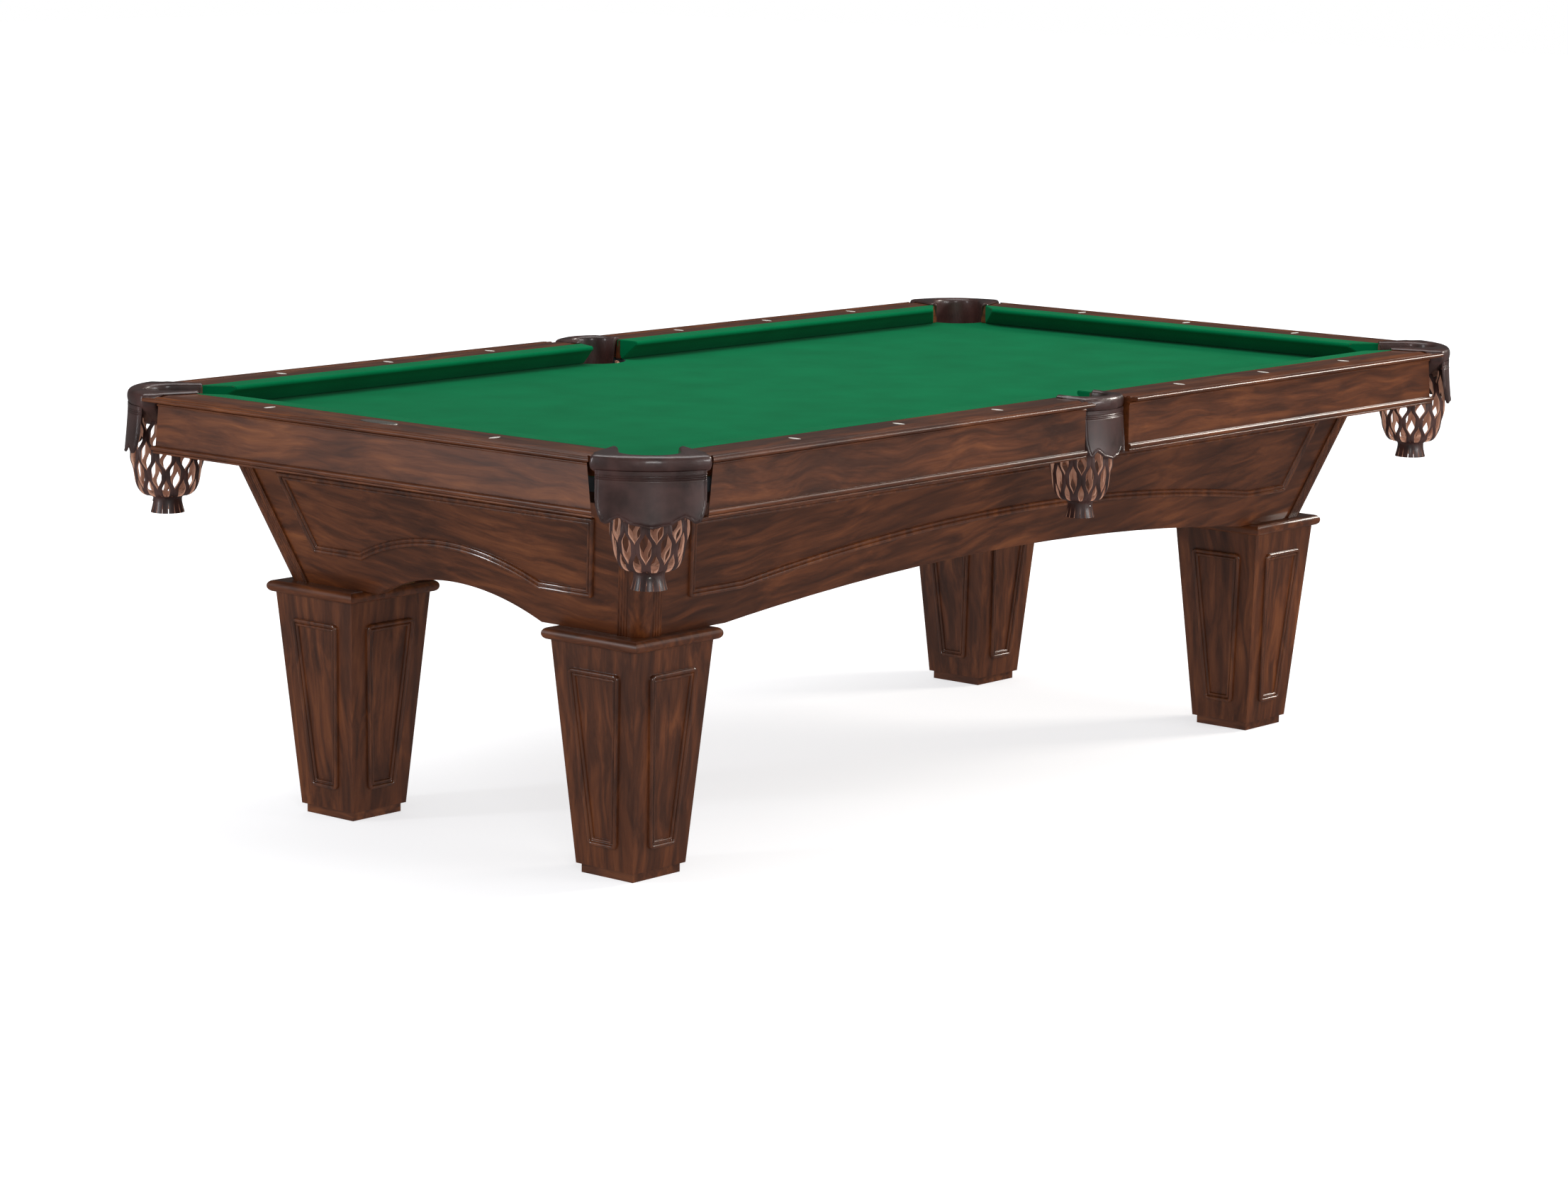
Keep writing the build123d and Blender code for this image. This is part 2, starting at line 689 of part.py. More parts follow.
def leg_frames():
    """The two-bead frame on each of a leg's four faces, for a leg centred on the Z axis."""
    frames = []
    for turn in (0, 90, 180, 270):
        whole = None
        for inset, width, proud in ((0, 8, 4), (1.6, 4.8, 5.4), (8, FRAME_WIDE - 8, 2), (10, 3, 3.2)):
            ring = extrude(Plane.XZ * leg_frame_face(inset), 200)
            ring -= extrude(Plane.XZ * leg_frame_face(inset + width), 200)
            skin = leg_block(-proud, 30, 400) - leg_block(0, 29, 401)
            layer = ring & skin
            whole = layer if whole is None else whole + layer
        frames.append(Rot(0, 0, turn) * whole)
    return frames


def legs():
    """Hollow tapered legs, their cap planks and foot blocks, and the levellers inside them."""
    shell = leg_block(0, LEG_LOW, LEG_HIGH) - leg_block(LEG_WALL, LEG_LOW + 25, LEG_HIGH - 22)
    shell -= cylinder(0, 0, LEG_LOW - 1, LEG_LOW + 26, 8)
    cap = box(-CAP_HALF, CAP_HALF, -CAP_HALF, CAP_HALF, LEG_HIGH, CAB_LOW)
    round_edges = cap.edges().filter_by(Axis.Z, reverse=True)
    cap = fillet(round_edges, (CAB_LOW - LEG_HIGH) / 2 - 0.3)
    for dx, dy in LEG_BOLTS:
        hole = cylinder(dx, dy, LEG_HIGH - 40, CAB_LOW + 1, BOLT_R)
        shell -= hole
        cap -= hole
    foot = box(-FOOT_HALF, FOOT_HALF, -FOOT_HALF, FOOT_HALF, 0, LEG_LOW)
    foot -= cylinder(0, 0, 0, LEG_LOW - 4, PAD_R + 3)
    foot -= cylinder(0, 0, 0, LEG_LOW, 8)
    insert = cylinder(0, 0, LEG_LOW, LEG_LOW + 25, 8) + cylinder(0, 0, LEG_LOW + 25, LEG_LOW + 27, 16)
    insert -= cylinder(0, 0, LEG_LOW, LEG_LOW + 27, STUD_R + 0.1)
    frames = leg_frames()
    caps, feet, inserts, all_frames, bolts = [], [], [], [], []
    for end, sx in ENDS.items():
        for side, sy in SIDES.items():
            here = Pos(sx * LEG_X, sy * LEG_Y, 0)
            mirrored = quarter(Pos(LEG_X, LEG_Y, 0) * shell, sx, sy)
            save(f"leg_{side}_{end}", mirrored)
            caps.append(quarter(Pos(LEG_X, LEG_Y, 0) * cap, sx, sy))
            feet.append(here * foot)
            inserts.append(here * insert)
            all_frames += [here * f for f in frames]
            for dx, dy in LEG_BOLTS:
                bolts += leg_bolt(sx * (LEG_X + dx), sy * (LEG_Y + dy))
            pad, stud = leveller()
            save(f"leveller_pad_{side}_{end}", here * pad)
            save(f"leveller_stud_{side}_{end}", here * stud)
    save("leg_caps", *caps)
    save("foot_blocks", *feet)
    save("leveller_inserts", *inserts)
    save("leg_frames", *all_frames)
    save("leg_bolts", *bolts)


def leg_bolt(x, y):
    """A bolt down through a corner block and a leg cap into the leg, and its washer."""
    washer_low = CAB_LOW + CORNER_BLOCK
    washer_top = washer_low + WASHER
    washer = cylinder(x, y, washer_low, washer_top, WASHER_R) - cylinder(x, y, washer_low, washer_top, BOLT_R)
    bolt = cylinder(x, y, LEG_HIGH - 36, washer_top, BOLT_R)
    bolt += extrude(Pos(x, y, washer_top) * RegularPolygon(HEAD_R, 6), HEAD)
    return [bolt, washer]


def leveller():
    """A pad that stays square to the floor, and the screw that turns in its socket."""
    pad_low = 1.0
    pad = cylinder(0, 0, pad_low, pad_low + 5, PAD_R) + cylinder(0, 0, pad_low + 5, pad_low + 10, 11)
    pad = pad - cylinder(0, 0, pad_low + 3, pad_low + 20, 7.4)
    stud = cylinder(0, 0, pad_low + 3.4, pad_low + 8, 7)
    stud += cylinder(0, 0, pad_low + 8, LEG_LOW + 62, STUD_R)
    stud -= Pos(0, 0, LEG_LOW + 62) * Box(20, 1.6, 5)
    return pad, stud


# ================================================================ pockets
FLANGE_LOW = RAIL_TOP + 0.3


class Pocket:
    """Sizes of a kind of pocket, in its local frame: across the pocket, and outward from the nose."""

    def __init__(self, corner):
        self.corner = corner
        if corner:
            self.opening, self.centre = 50.0, 52.0          # the U that the ball drops through
            self.body = [(56.0, 11.6), (90.4, 67.2), (95.5, 67.4), (102.0, 96.0)]
            self.flange = [(50.0, -4.0), (64.0, -4.0), (95.0, 66.0), (95.5, 67.4)]
            self.front, self.net = 129.0, 1.0
            self.shield_half, self.shield_low = 93.0, 673.0
            self.arm = 27.0                                 # where the inner wall starts
            self.bar, self.ear, self.ear_tip = 34.0, (40.0, 50.0), 90.0
        else:
            self.opening, self.centre = 46.0, SIDE_OUT
            self.body = [(53.0, 52.5), (60.8, 64.0), (60.8, 68.0), (61.2, 112.0)]
            self.flange = [(47.0, 46.0), (62.0, 46.0), (62.0, 67.0), (61.0, 68.0)]
            self.front, self.net = 128.0, 0.88
            self.shield_half, self.shield_low = 60.5, 676.0
            self.arm = 54.0
            self.bar, self.ear, self.ear_tip = 63.0, (67.0, 77.0), 82.0


def ring_of(points):
    """A closed outline from the points of one flank, mirrored for the other."""
    return [(-x, y) for x, y in points] + [(x, y) for x, y in reversed(points)]


def u_shape(half, out, z0, z1, low=-20.0):
    """A U-shaped prism: straight arms from the mouth, closed by a half circle."""
    arms = box(-half, half, low, out, z0, z1)
    return arms + (cylinder(0, out, z0, z1, half) & box(-half, half, out, out + half, z0, z1))


def collar(p):
    """Padded leather collar: a rolled front between the rail ends, a top that laps them, an inner wall."""
    (x2, y2), (x3, y3) = p.body[2:]
    front = make_face([
        Line((-x2, y2), (-x3, y3)),
        ThreePointArc((-x3, y3), (0, p.front), (x3, y3)),
        Line((x3, y3), (x2, y2)),
        Line((x2, y2), (-x2, y2)),
    ])
    roll = extrude(Pos(0, 0, COLLAR_LOW) * front, COLLAR_TOP - COLLAR_LOW)
    roll = fillet(roll.edges().filter_by(GeomType.CIRCLE).sort_by(Axis.Z)[-1:], 13)
    roll = fillet(roll.edges().filter_by(GeomType.CIRCLE).sort_by(Axis.Z)[:1], 8)
    roll += prism(ring_of(p.body[:3]), COLLAR_LOW, FLANGE_LOW)
    roll += prism(ring_of(p.flange), FLANGE_LOW, COLLAR_TOP)
    roll -= u_shape(p.opening, p.centre, COLLAR_LOW - 1, COLLAR_TOP + 1, -30)
    wall = u_shape(p.opening + LEATHER, p.centre, LINER_LOW, COLLAR_LOW + 1, p.arm)
    wall -= u_shape(p.opening, p.centre, LINER_LOW - 1, COLLAR_LOW + 2, -30)
    return roll + wall


def iron(p):
    """Cast iron inside the collar: a U-shaped bar, with an ear at each end let into the rail's end."""
    z0, z1 = COLLAR_LOW + 5, COLLAR_LOW + 15
    inside = p.opening + LEATHER
    bar = u_shape(inside + 6.5, p.centre, z0, z1, p.bar)
    y0, y1 = p.ear
    bar += box(-p.ear_tip, p.ear_tip, y0, y1, z0, z1)
    return bar - u_shape(inside, p.centre, z0 - 1, z1 + 1, -30)


def shield(p):
    """Stitched leather flap under the collar: it follows the curved front and flares at the bottom."""
    x3, y3 = p.body[3]
    rise = p.front - y3
    r = (x3 ** 2 + rise ** 2) / (2 * rise)
    centre = p.front - r
    top = COLLAR_LOW - 0.2
    bottom = p.shield_low - 5
    flare = 8.0
    outer = loft([Pos(0, centre, bottom) * Circle(r - 1 + flare), Pos(0, centre, top) * Circle(r - 1)])
    inner = loft([Pos(0, centre, bottom) * Circle(r - 1 + flare - LEATHER),
                  Pos(0, centre, top) * Circle(r - 1 - LEATHER)])
    # scalloped lower edge: a middle tongue between two hollows and two outer lobes
    half, low = p.shield_half, p.shield_low
    drops = [(0, 0), (0.25, 2.5), (0.55, 14.5), (0.66, 17), (0.83, 11), (0.95, 18), (1, 34)]
    flank = [(half * a, low + d) for a, d in drops]
    edge = Spline(*[(-x, z) for x, z in reversed(flank[1:])], *flank)
    x, z = flank[-1]
    face = make_face([edge, Line((x, z), (x, top + 5)), Line((x, top + 5), (-x, top + 5)),
                      Line((-x, top + 5), (-x, z))])
    return (outer - inner) & extrude(Plane.XZ * face, -400)


def net(scale):
    """A drop net as a plain closed bag: open at the top, drawn in at the neck above a short skirt."""
    outer = [(62, NET_TOP), (64, 704), (67, 684), (67, 664), (62.5, 643), (57, 620), (50.5, 603),
             (34, 595.5), (26.5, 590), (27, 582), (31, 562)]
    outer = [(r * scale, z) for r, z in outer]
    inner = [(r - LEATHER, z) for r, z in outer]
    face = make_face(Polyline(*outer, *reversed(inner), close=True))
    return revolve(Plane.XZ * face, Axis.Z)


def pockets(irons):
    groups = {"corner_collars": [], "side_collars": [], "pocket_shields": []}
    made = {}
    for corner in (True, False):
        p = Pocket(corner)
        made[corner] = (collar(p) - iron(p), shield(p), net(p.net))
    for name, place, corner, out in pocket_places():
        padded, flap, bag = made[corner]
        groups["corner_collars" if corner else "side_collars"].append(place * padded)
        groups["pocket_shields"].append(place * flap)
        save(f"pocket_net_{name}", place * Pos(0, out, 0) * bag)
    for name, pieces in groups.items():
        save(name, *pieces)
    save("pocket_irons", *irons)


irons = [place * iron(Pocket(corner)) for _, place, corner, _ in pocket_places()]
rails(irons)
soft_rails()
aprons()
bed()
cabinet()
legs()
pockets(irons)
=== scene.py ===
import math
import random

import bmesh
import bpy
from mathutils import Euler, Matrix, Vector, kdtree, noise


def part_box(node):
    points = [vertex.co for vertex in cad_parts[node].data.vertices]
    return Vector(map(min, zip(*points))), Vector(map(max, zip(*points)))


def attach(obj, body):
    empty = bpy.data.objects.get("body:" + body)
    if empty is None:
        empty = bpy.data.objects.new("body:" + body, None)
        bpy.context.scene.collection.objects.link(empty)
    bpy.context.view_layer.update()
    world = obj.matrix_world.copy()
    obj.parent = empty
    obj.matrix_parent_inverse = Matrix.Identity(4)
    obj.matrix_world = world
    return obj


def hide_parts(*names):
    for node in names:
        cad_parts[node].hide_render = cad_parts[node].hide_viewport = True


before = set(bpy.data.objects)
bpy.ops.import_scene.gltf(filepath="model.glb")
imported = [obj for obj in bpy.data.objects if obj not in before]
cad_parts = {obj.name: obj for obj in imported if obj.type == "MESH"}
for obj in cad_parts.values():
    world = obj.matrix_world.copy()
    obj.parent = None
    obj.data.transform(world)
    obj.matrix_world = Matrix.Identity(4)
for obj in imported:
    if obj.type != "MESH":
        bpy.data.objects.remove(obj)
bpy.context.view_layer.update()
MM = 0.001

# ---------------------------------------------------------------- studio
# A white sweep of floor under broad soft boxes, as furniture is shot: the wood and leather are
# glossy, so most of their shape is told by what the lamps draw along the beads and rolls.
CAMERA_PLACE = (-6.3487, -5.3537, 1.7561)
CAMERA_TURN = (math.radians(90 - 9.608), math.radians(0), math.radians(-49.334))
CAMERA_ROLL = math.radians(0.731)
LENS = 98.81
FLOOR_SIZE = 60.0
STUDIO_WHITE = "#FFFFFF"
# name, place, aimed at, width, height, power in watts, colour
SOFT_BOXES = [
    ("overhead", (0.3, 0.2, 4.2), (0.0, 0.0, 0.7), 4.5, 2.6, 120.0, "#FFFFFF"),
    ("key", (5.2, -2.6, 3.3), (0.0, -0.2, 0.5), 1.5, 1.5, 190.0, "#FFF8EF"),
    ("left_strip", (-5.2, 2.6, 1.7), (-1.0, 0.0, 0.5), 0.5, 2.6, 75.0, "#F7FAFF"),
    ("right_strip", (1.6, -5.4, 1.5), (0.2, -0.6, 0.5), 2.6, 0.5, 80.0, "#FFFFFF"),
    ("corner_fill", (-4.6, -4.6, 2.4), (-0.9, -0.6, 0.5), 1.2, 1.2, 60.0, "#FFFFFF"),
]


def linear(hexcode):
    """An sRGB hex colour as the linear colour that Blender works in."""
    parts = [int(hexcode[i:i + 2], 16) / 255 for i in (1, 3, 5)]
    return tuple(c / 12.92 if c <= 0.04045 else ((c + 0.055) / 1.055) ** 2.4 for c in parts) + (1.0,)


def add(tree, kind, inputs=None, stops=None, **settings):
    """Adds a node, with its settings, its sockets' values or links, and a ramp's stops."""
    made = tree.nodes.new(kind)
    for name, value in settings.items():
        setattr(made, name, value)
    if stops:
        ramp = made.color_ramp
        while len(ramp.elements) < len(stops):
            ramp.elements.new(0.5)
        for element, (place, colour) in zip(ramp.elements, stops):
            element.position = place
            element.color = linear(colour) if isinstance(colour, str) else (colour,) * 3 + (1.0,)
    for socket, value in (inputs or {}).items():
        target = made.inputs[socket]
        if isinstance(value, bpy.types.NodeSocket):
            tree.links.new(value, target)
        else:
            target.default_value = value
    return made


def new_material(name):
    """An empty node material and the tree, coordinates and shader that every finish starts from."""
    material = bpy.data.materials.new(name)
    material.use_nodes = True
    tree = material.node_tree
    tree.nodes.clear()
    place = add(tree, "ShaderNodeTexCoord").outputs["Object"]
    shader = add(tree, "ShaderNodeBsdfPrincipled")
    out = add(tree, "ShaderNodeOutputMaterial", {"Surface": shader.outputs["BSDF"]})
    out.location = (600, 0)
    return material, tree, place, shader


world = bpy.data.worlds.new("studio_air")
bpy.context.scene.world = world
world.use_nodes = True
world.node_tree.nodes.clear()
rays = add(world.node_tree, "ShaderNodeLightPath").outputs
seen = add(world.node_tree, "ShaderNodeBackground", {"Color": linear(STUDIO_WHITE), "Strength": 1.0})
lit = add(world.node_tree, "ShaderNodeBackground", {"Color": linear(STUDIO_WHITE), "Strength": 0.62})
mirrored = add(world.node_tree, "ShaderNodeBackground", {"Color": linear(STUDIO_WHITE), "Strength": 0.06})
mixed = add(world.node_tree, "ShaderNodeMixShader",
            {0: rays["Is Glossy Ray"], 1: lit.outputs[0], 2: mirrored.outputs[0]})
mixed = add(world.node_tree, "ShaderNodeMixShader",
            {0: rays["Is Camera Ray"], 1: mixed.outputs[0], 2: seen.outputs[0]})
add(world.node_tree, "ShaderNodeOutputWorld", {"Surface": mixed.outputs[0]})

floor_mesh = bpy.data.meshes.new("floor")
half = FLOOR_SIZE / 2
floor_mesh.from_pydata([(-half, -half, 0), (half, -half, 0), (half, half, 0), (-half, half, 0)], [],
                       [(0, 1, 2, 3)])
floor = bpy.data.objects.new("floor", floor_mesh)
bpy.context.scene.collection.objects.link(floor)
sweep = bpy.data.materials.new("painted_sweep")
sweep.use_nodes = True
sweep.node_tree.nodes.clear()
rays = add(sweep.node_tree, "ShaderNodeLightPath").outputs
spot = add(sweep.node_tree, "ShaderNodeTexCoord").outputs["Object"]
away = add(sweep.node_tree, "ShaderNodeVectorMath", {0: spot}, operation="LENGTH")
lift = add(sweep.node_tree, "ShaderNodeMapRange",
           {"Value": away.outputs["Value"], "From Min": 1.5, "From Max": 5.0, "To Min": 0.66, "To Max": 1.0})
paint = add(sweep.node_tree, "ShaderNodeBsdfDiffuse", {"Color": linear("#C4C4C4")})
glow = add(sweep.node_tree, "ShaderNodeEmission", {"Color": linear("#FDFDFF"), "Strength": lift.outputs[0]})
both = add(sweep.node_tree, "ShaderNodeAddShader", {0: paint.outputs[0], 1: glow.outputs[0]})
dull = add(sweep.node_tree, "ShaderNodeEmission", {"Color": linear("#FFFFFF"), "Strength": 0.10})
both = add(sweep.node_tree, "ShaderNodeMixShader", {0: rays["Is Glossy Ray"], 1: both.outputs[0],
                                                    2: dull.outputs[0]})
add(sweep.node_tree, "ShaderNodeOutputMaterial", {"Surface": both.outputs[0]})
floor_mesh.materials.append(sweep)

for name, place, target, width, height, power, colour in SOFT_BOXES:
    lamp = bpy.data.lights.new(name, "AREA")
    lamp.shape = "RECTANGLE"
    lamp.size = width
    lamp.size_y = height
    lamp.energy = power
    lamp.color = linear(colour)[:3]
    holder = bpy.data.objects.new(name, lamp)
    holder.location = place
    aim = Vector(target) - Vector(place)
    holder.rotation_euler = aim.to_track_quat("-Z", "Y").to_euler()
    bpy.context.scene.collection.objects.link(holder)

lens = bpy.data.cameras.new("camera")
lens.sensor_width = 36.0
lens.lens = LENS
lens.clip_end = 100.0
camera = bpy.data.objects.new("camera", lens)
camera.location = CAMERA_PLACE
camera.rotation_euler = (Euler(CAMERA_TURN).to_matrix() @ Matrix.Rotation(CAMERA_ROLL, 3, "Z")).to_euler()
bpy.context.scene.collection.objects.link(camera)
bpy.context.scene.camera = camera
bpy.context.scene.view_settings.view_transform = "Standard"

# ---------------------------------------------------------------- woodwork
# Mahogany boards stained a deep red brown, with darker and more orange streaks along the grain, and
# sprayed with a gloss lacquer. The rails, aprons, cabinet boards, posts and legs are CAD pieces,
# so only their finish is made here, with the grain along each board.
STREAK_WIDE = 17 * MM       # width of a light or dark streak across the grain
STREAK_LONG = 11.0           # how many times longer it is along the grain
FIBRE_WIDE = 2.2 * MM       # drawn coarser than a real pore, which is under 0.3 mm, so that it shows


def mahogany(name, grain, tone=0.5, slant=0.0, gloss=0.4):
    """Stained mahogany under gloss lacquer: the dark veins and orange streaks run along one axis."""
    material, tree, place, shader = new_material(name)
    axis = "xyz".index(grain)
    turn = [0.0, 0.0, 0.0]
    turn[{0: 1, 1: 0, 2: 0}[axis]] = slant
    stretched = [1 / STREAK_WIDE] * 3
    stretched[axis] = 1 / (STREAK_WIDE * STREAK_LONG)
    boards = add(tree, "ShaderNodeMapping", {"Vector": place, "Rotation": turn})
    drift = add(tree, "ShaderNodeTexNoise", {"Vector": boards.outputs[0], "Scale": 5.0, "Detail": 1.0})
    push = add(tree, "ShaderNodeVectorMath", {0: drift.outputs["Color"], 1: (0.5, 0.5, 0.5)},
               operation="SUBTRACT")
    push = add(tree, "ShaderNodeVectorMath", {0: push.outputs[0], "Scale": 0.05}, operation="SCALE")
    bent = add(tree, "ShaderNodeVectorMath", {0: boards.outputs[0], 1: push.outputs[0]}, operation="ADD")
    along = add(tree, "ShaderNodeMapping", {"Vector": bent.outputs[0], "Scale": stretched})
    streaks = add(tree, "ShaderNodeTexNoise",
                  {"Vector": along.outputs[0], "Scale": 1.0, "Detail": 4.0, "Roughness": 0.55,
                   "Distortion": 0.5})
    fine_scale = [1 / FIBRE_WIDE] * 3
    fine_scale[axis] = 1 / (FIBRE_WIDE * 30)
    finer = add(tree, "ShaderNodeMapping", {"Vector": bent.outputs[0], "Scale": fine_scale})
    fibres = add(tree, "ShaderNodeTexNoise", {"Vector": finer.outputs[0], "Scale": 1.0, "Detail": 3.0})
    clouds = add(tree, "ShaderNodeTexNoise", {"Vector": boards.outputs[0], "Scale": 3.2, "Detail": 1.5})
    figure = add(tree, "ShaderNodeMath", {0: streaks.outputs["Fac"], 1: 0.72}, operation="MULTIPLY")
    figure = add(tree, "ShaderNodeMath", {0: clouds.outputs["Fac"], 1: 0.34, 2: figure.outputs[0]},
                 operation="MULTIPLY_ADD")
    figure = add(tree, "ShaderNodeMath", {0: fibres.outputs["Fac"], 1: 0.16, 2: figure.outputs[0]},
                 operation="MULTIPLY_ADD")
    figure = add(tree, "ShaderNodeMath", {0: figure.outputs[0], 1: tone - 0.61}, operation="ADD")
    stain = add(tree, "ShaderNodeValToRGB", {"Fac": figure.outputs[0]}, stops=[
        (0.30, "#34180A"), (0.43, "#44210D"), (0.54, "#562B11"), (0.66, "#693817"), (0.80, "#7F481E")])
    tree.links.new(stain.outputs["Color"], shader.inputs["Base Color"])
    sheen = add(tree, "ShaderNodeMapRange",
                {"Value": fibres.outputs["Fac"], "To Min": 0.30, "To Max": 0.42})
    tree.links.new(sheen.outputs[0], shader.inputs["Roughness"])
    bump = add(tree, "ShaderNodeBump",
               {"Height": fibres.outputs["Fac"], "Strength": 0.12, "Distance": 0.3 * MM})
    tree.links.new(bump.outputs[0], shader.inputs["Normal"])
    shader.inputs["IOR"].default_value = 1.5
    shader.inputs["Coat Weight"].default_value = gloss
    shader.inputs["Coat Roughness"].default_value = 0.09
    shader.inputs["Coat IOR"].default_value = 1.5
    return material


def dress(node, material):
    """Gives a CAD node its finish."""
    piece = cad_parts[node]
    piece.data.materials.clear()
    piece.data.materials.append(material)


LONG_BOARD = mahogany("mahogany_along_the_table", "x", 0.50)
CROSS_BOARD = mahogany("mahogany_across_the_table", "y", 0.52)
# The long cabinet boards get a darker tone than the other boards: partly the wood's own colour, partly painted
# shade for the shadow these boards stand in.
LONG_PANEL_TONE_AND_SHADE = mahogany("mahogany_long_panel_tone_and_painted_shade", "x", 0.45, slant=math.radians(8))
CROSS_PANEL = mahogany("mahogany_end_panel", "y", 0.50, slant=math.radians(-7))
UPRIGHT = mahogany("mahogany_upright", "z", 0.49)
TRIM = mahogany("mahogany_trim", "z", 0.50, gloss=1.0)

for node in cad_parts:
    if node in ("rail_head", "rail_foot", "end_aprons"):
        dress(node, CROSS_BOARD)
    elif node in ("side_aprons", "feather_strips") or node.startswith(("rail_left", "rail_right")):
        dress(node, LONG_BOARD)
    elif node in ("cabinet_left", "cabinet_right"):
        dress(node, LONG_PANEL_TONE_AND_SHADE)
    elif node in ("cabinet_head", "cabinet_foot"):
        dress(node, CROSS_PANEL)
    elif node == "cabinet_posts" or node.startswith(("leg_left", "leg_right")):
        dress(node, UPRIGHT)
    elif node in ("leg_caps", "foot_blocks"):
        dress(node, CROSS_BOARD)

# ---------------------------------------------------------------- planted mouldings
# The double-bead frames planted on the cabinet boards and on the four faces of each leg: a wide
# bead outside, a narrow one inside, run from the same mahogany and mitred at the corners.
BEAD_ROW = [            # distance in from the frame's outer edge, height over the board, both in mm
    (0.0, -1.0), (0.0, 2.2), (0.5, 4.0), (1.6, 5.6), (3.2, 6.4), (5.0, 6.4), (6.6, 5.5), (7.8, 3.8),
    (8.3, 2.2), (9.0, 1.9), (9.6, 2.6), (10.6, 3.9), (12.0, 4.3), (13.4, 3.8), (14.4, 2.4), (15.0, 0.6),
    (15.0, -1.0)]


def inset_outline(points, inset):
    """An anticlockwise outline with each side moved inwards, and its corners mitred."""
    moved = []
    for before, here, after in zip(points[-1:] + points[:-1], points, points[1:] + points[:1]):
        a = (here - before).normalized()
        b = (after - here).normalized()
        left_a = Vector((-a.y, a.x))
        left_b = Vector((-b.y, b.x))
        moved.append(here + (left_a + left_b) * (inset / (1 + left_a.dot(left_b))))
    return moved


def round_corners(points, radii, steps=8):
    """The outline with an arc in place of each corner that has a radius."""
    rounded = []
    for before, here, after, radius in zip(points[-1:] + points[:-1], points, points[1:] + points[:1], radii):
        if not radius:
            rounded.append(here)
            continue
        a = (before - here).normalized()
        b = (after - here).normalized()
        half_angle = a.angle(b) / 2
        centre = here + (a + b).normalized() * (radius / math.sin(half_angle))
        start = here + a * (radius / math.tan(half_angle)) - centre
        sweep_angle = math.pi - 2 * half_angle
        sign = 1 if a.cross(b) < 0 else -1
        for k in range(steps + 1):
            spin = Matrix.Rotation(sign * sweep_angle * k / steps, 2)
            rounded.append(centre + spin @ start)
    return rounded


def planted_frame(name, outline, radii, place, row=BEAD_ROW):
    """A frame of moulding: the bead row carried round an outline and laid on a board by place()."""
    mesh = bmesh.new()
    loops = []
    for inset, high in row:
        ring = inset_outline(outline, inset * MM)
        ring = round_corners(ring, [max(r - inset, 1.2) * MM if r else 0 for r in radii])
        loops.append([mesh.verts.new(place(p.x, p.y, high * MM)) for p in ring])
    for low, high in zip(loops, loops[1:]):
        for i in range(len(low)):
            j = (i + 1) % len(low)
            mesh.faces.new((low[i], low[j], high[j], high[i]))
    for i in range(len(loops[0])):
        j = (i + 1) % len(loops[0])
        mesh.faces.new((loops[-1][i], loops[-1][j], loops[0][j], loops[0][i]))
    bmesh.ops.recalc_face_normals(mesh, faces=mesh.faces)
    return finished(name, mesh, TRIM)


def finished(name, mesh, *materials):
    """Turns a bmesh into an object at the origin, smooth except where it turns a sharp corner."""
    data = bpy.data.meshes.new(name)
    mesh.to_mesh(data)
    mesh.free()
    for material in materials:
        data.materials.append(material)
    data.shade_smooth()
    data.set_sharp_from_angle(angle=math.radians(38))
    piece = bpy.data.objects.new(name, data)
    bpy.context.scene.collection.objects.link(piece)
    return piece


def joined(name, pieces):
    """Several pieces as one object."""
    with bpy.context.temp_override(active_object=pieces[0], selected_editable_objects=pieces):
        bpy.ops.object.join()
    pieces[0].name = name
    return pieces[0]


LEAN = 0.33
CAP_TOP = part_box("leg_caps")[1].z
PANEL_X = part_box("cabinet_foot")[1].x - LEAN * (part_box("cabinet_foot")[1].z - CAP_TOP)
PANEL_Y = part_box("cabinet_right")[1].y - LEAN * (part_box("cabinet_right")[1].z - CAP_TOP)
ARCH_STEPS = 40


def leaning(face_out, along, side):
    """Carries a point on a cabinet board (along, height, off the board) into the table's frame."""
    flat = 1 / math.hypot(1, LEAN)

    def place(u, z, off):
        out = face_out + LEAN * (z - CAP_TOP) + off * flat
        z = z - off * LEAN * flat
        return (u, side * out, z) if along == "x" else (side * out, u, z)

    return place


def panel_outline(half, kink, low, rise, top):
    """A board's moulding line: level ends, an arched middle, leaning sides."""
    radius = (kink ** 2 + rise ** 2) / (2 * rise)
    span = math.asin(kink / radius)
    points = []
    for k in range(ARCH_STEPS + 1):
        turn = -span + 2 * span * k / ARCH_STEPS
        points.append(Vector((radius * math.sin(turn), low + rise - radius * (1 - math.cos(turn)))))
    reach = half + LEAN * (top - low)
    points += [Vector((half, low)), Vector((reach, top)), Vector((-reach, top)), Vector((-half, low))]
    radii = [0] * (ARCH_STEPS + 1) + [7, 3, 3, 7]
    return points, radii


panel_frames = []
for sizes, along, face_out in (((906, 770, 500, 55, 650), "x", PANEL_Y),
                               ((348, 222, 500, 49, 650), "y", PANEL_X)):
    outline, radii = panel_outline(*[s * MM for s in sizes])
    for side in (-1, 1):
        lean = leaning(face_out, along, side)
        panel_frames.append(planted_frame(f"panel_{along}{side}", outline, radii, lean))
moulding = joined("cabinet_moulding", panel_frames)
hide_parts("panel_mouldings")
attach(moulding, "table")

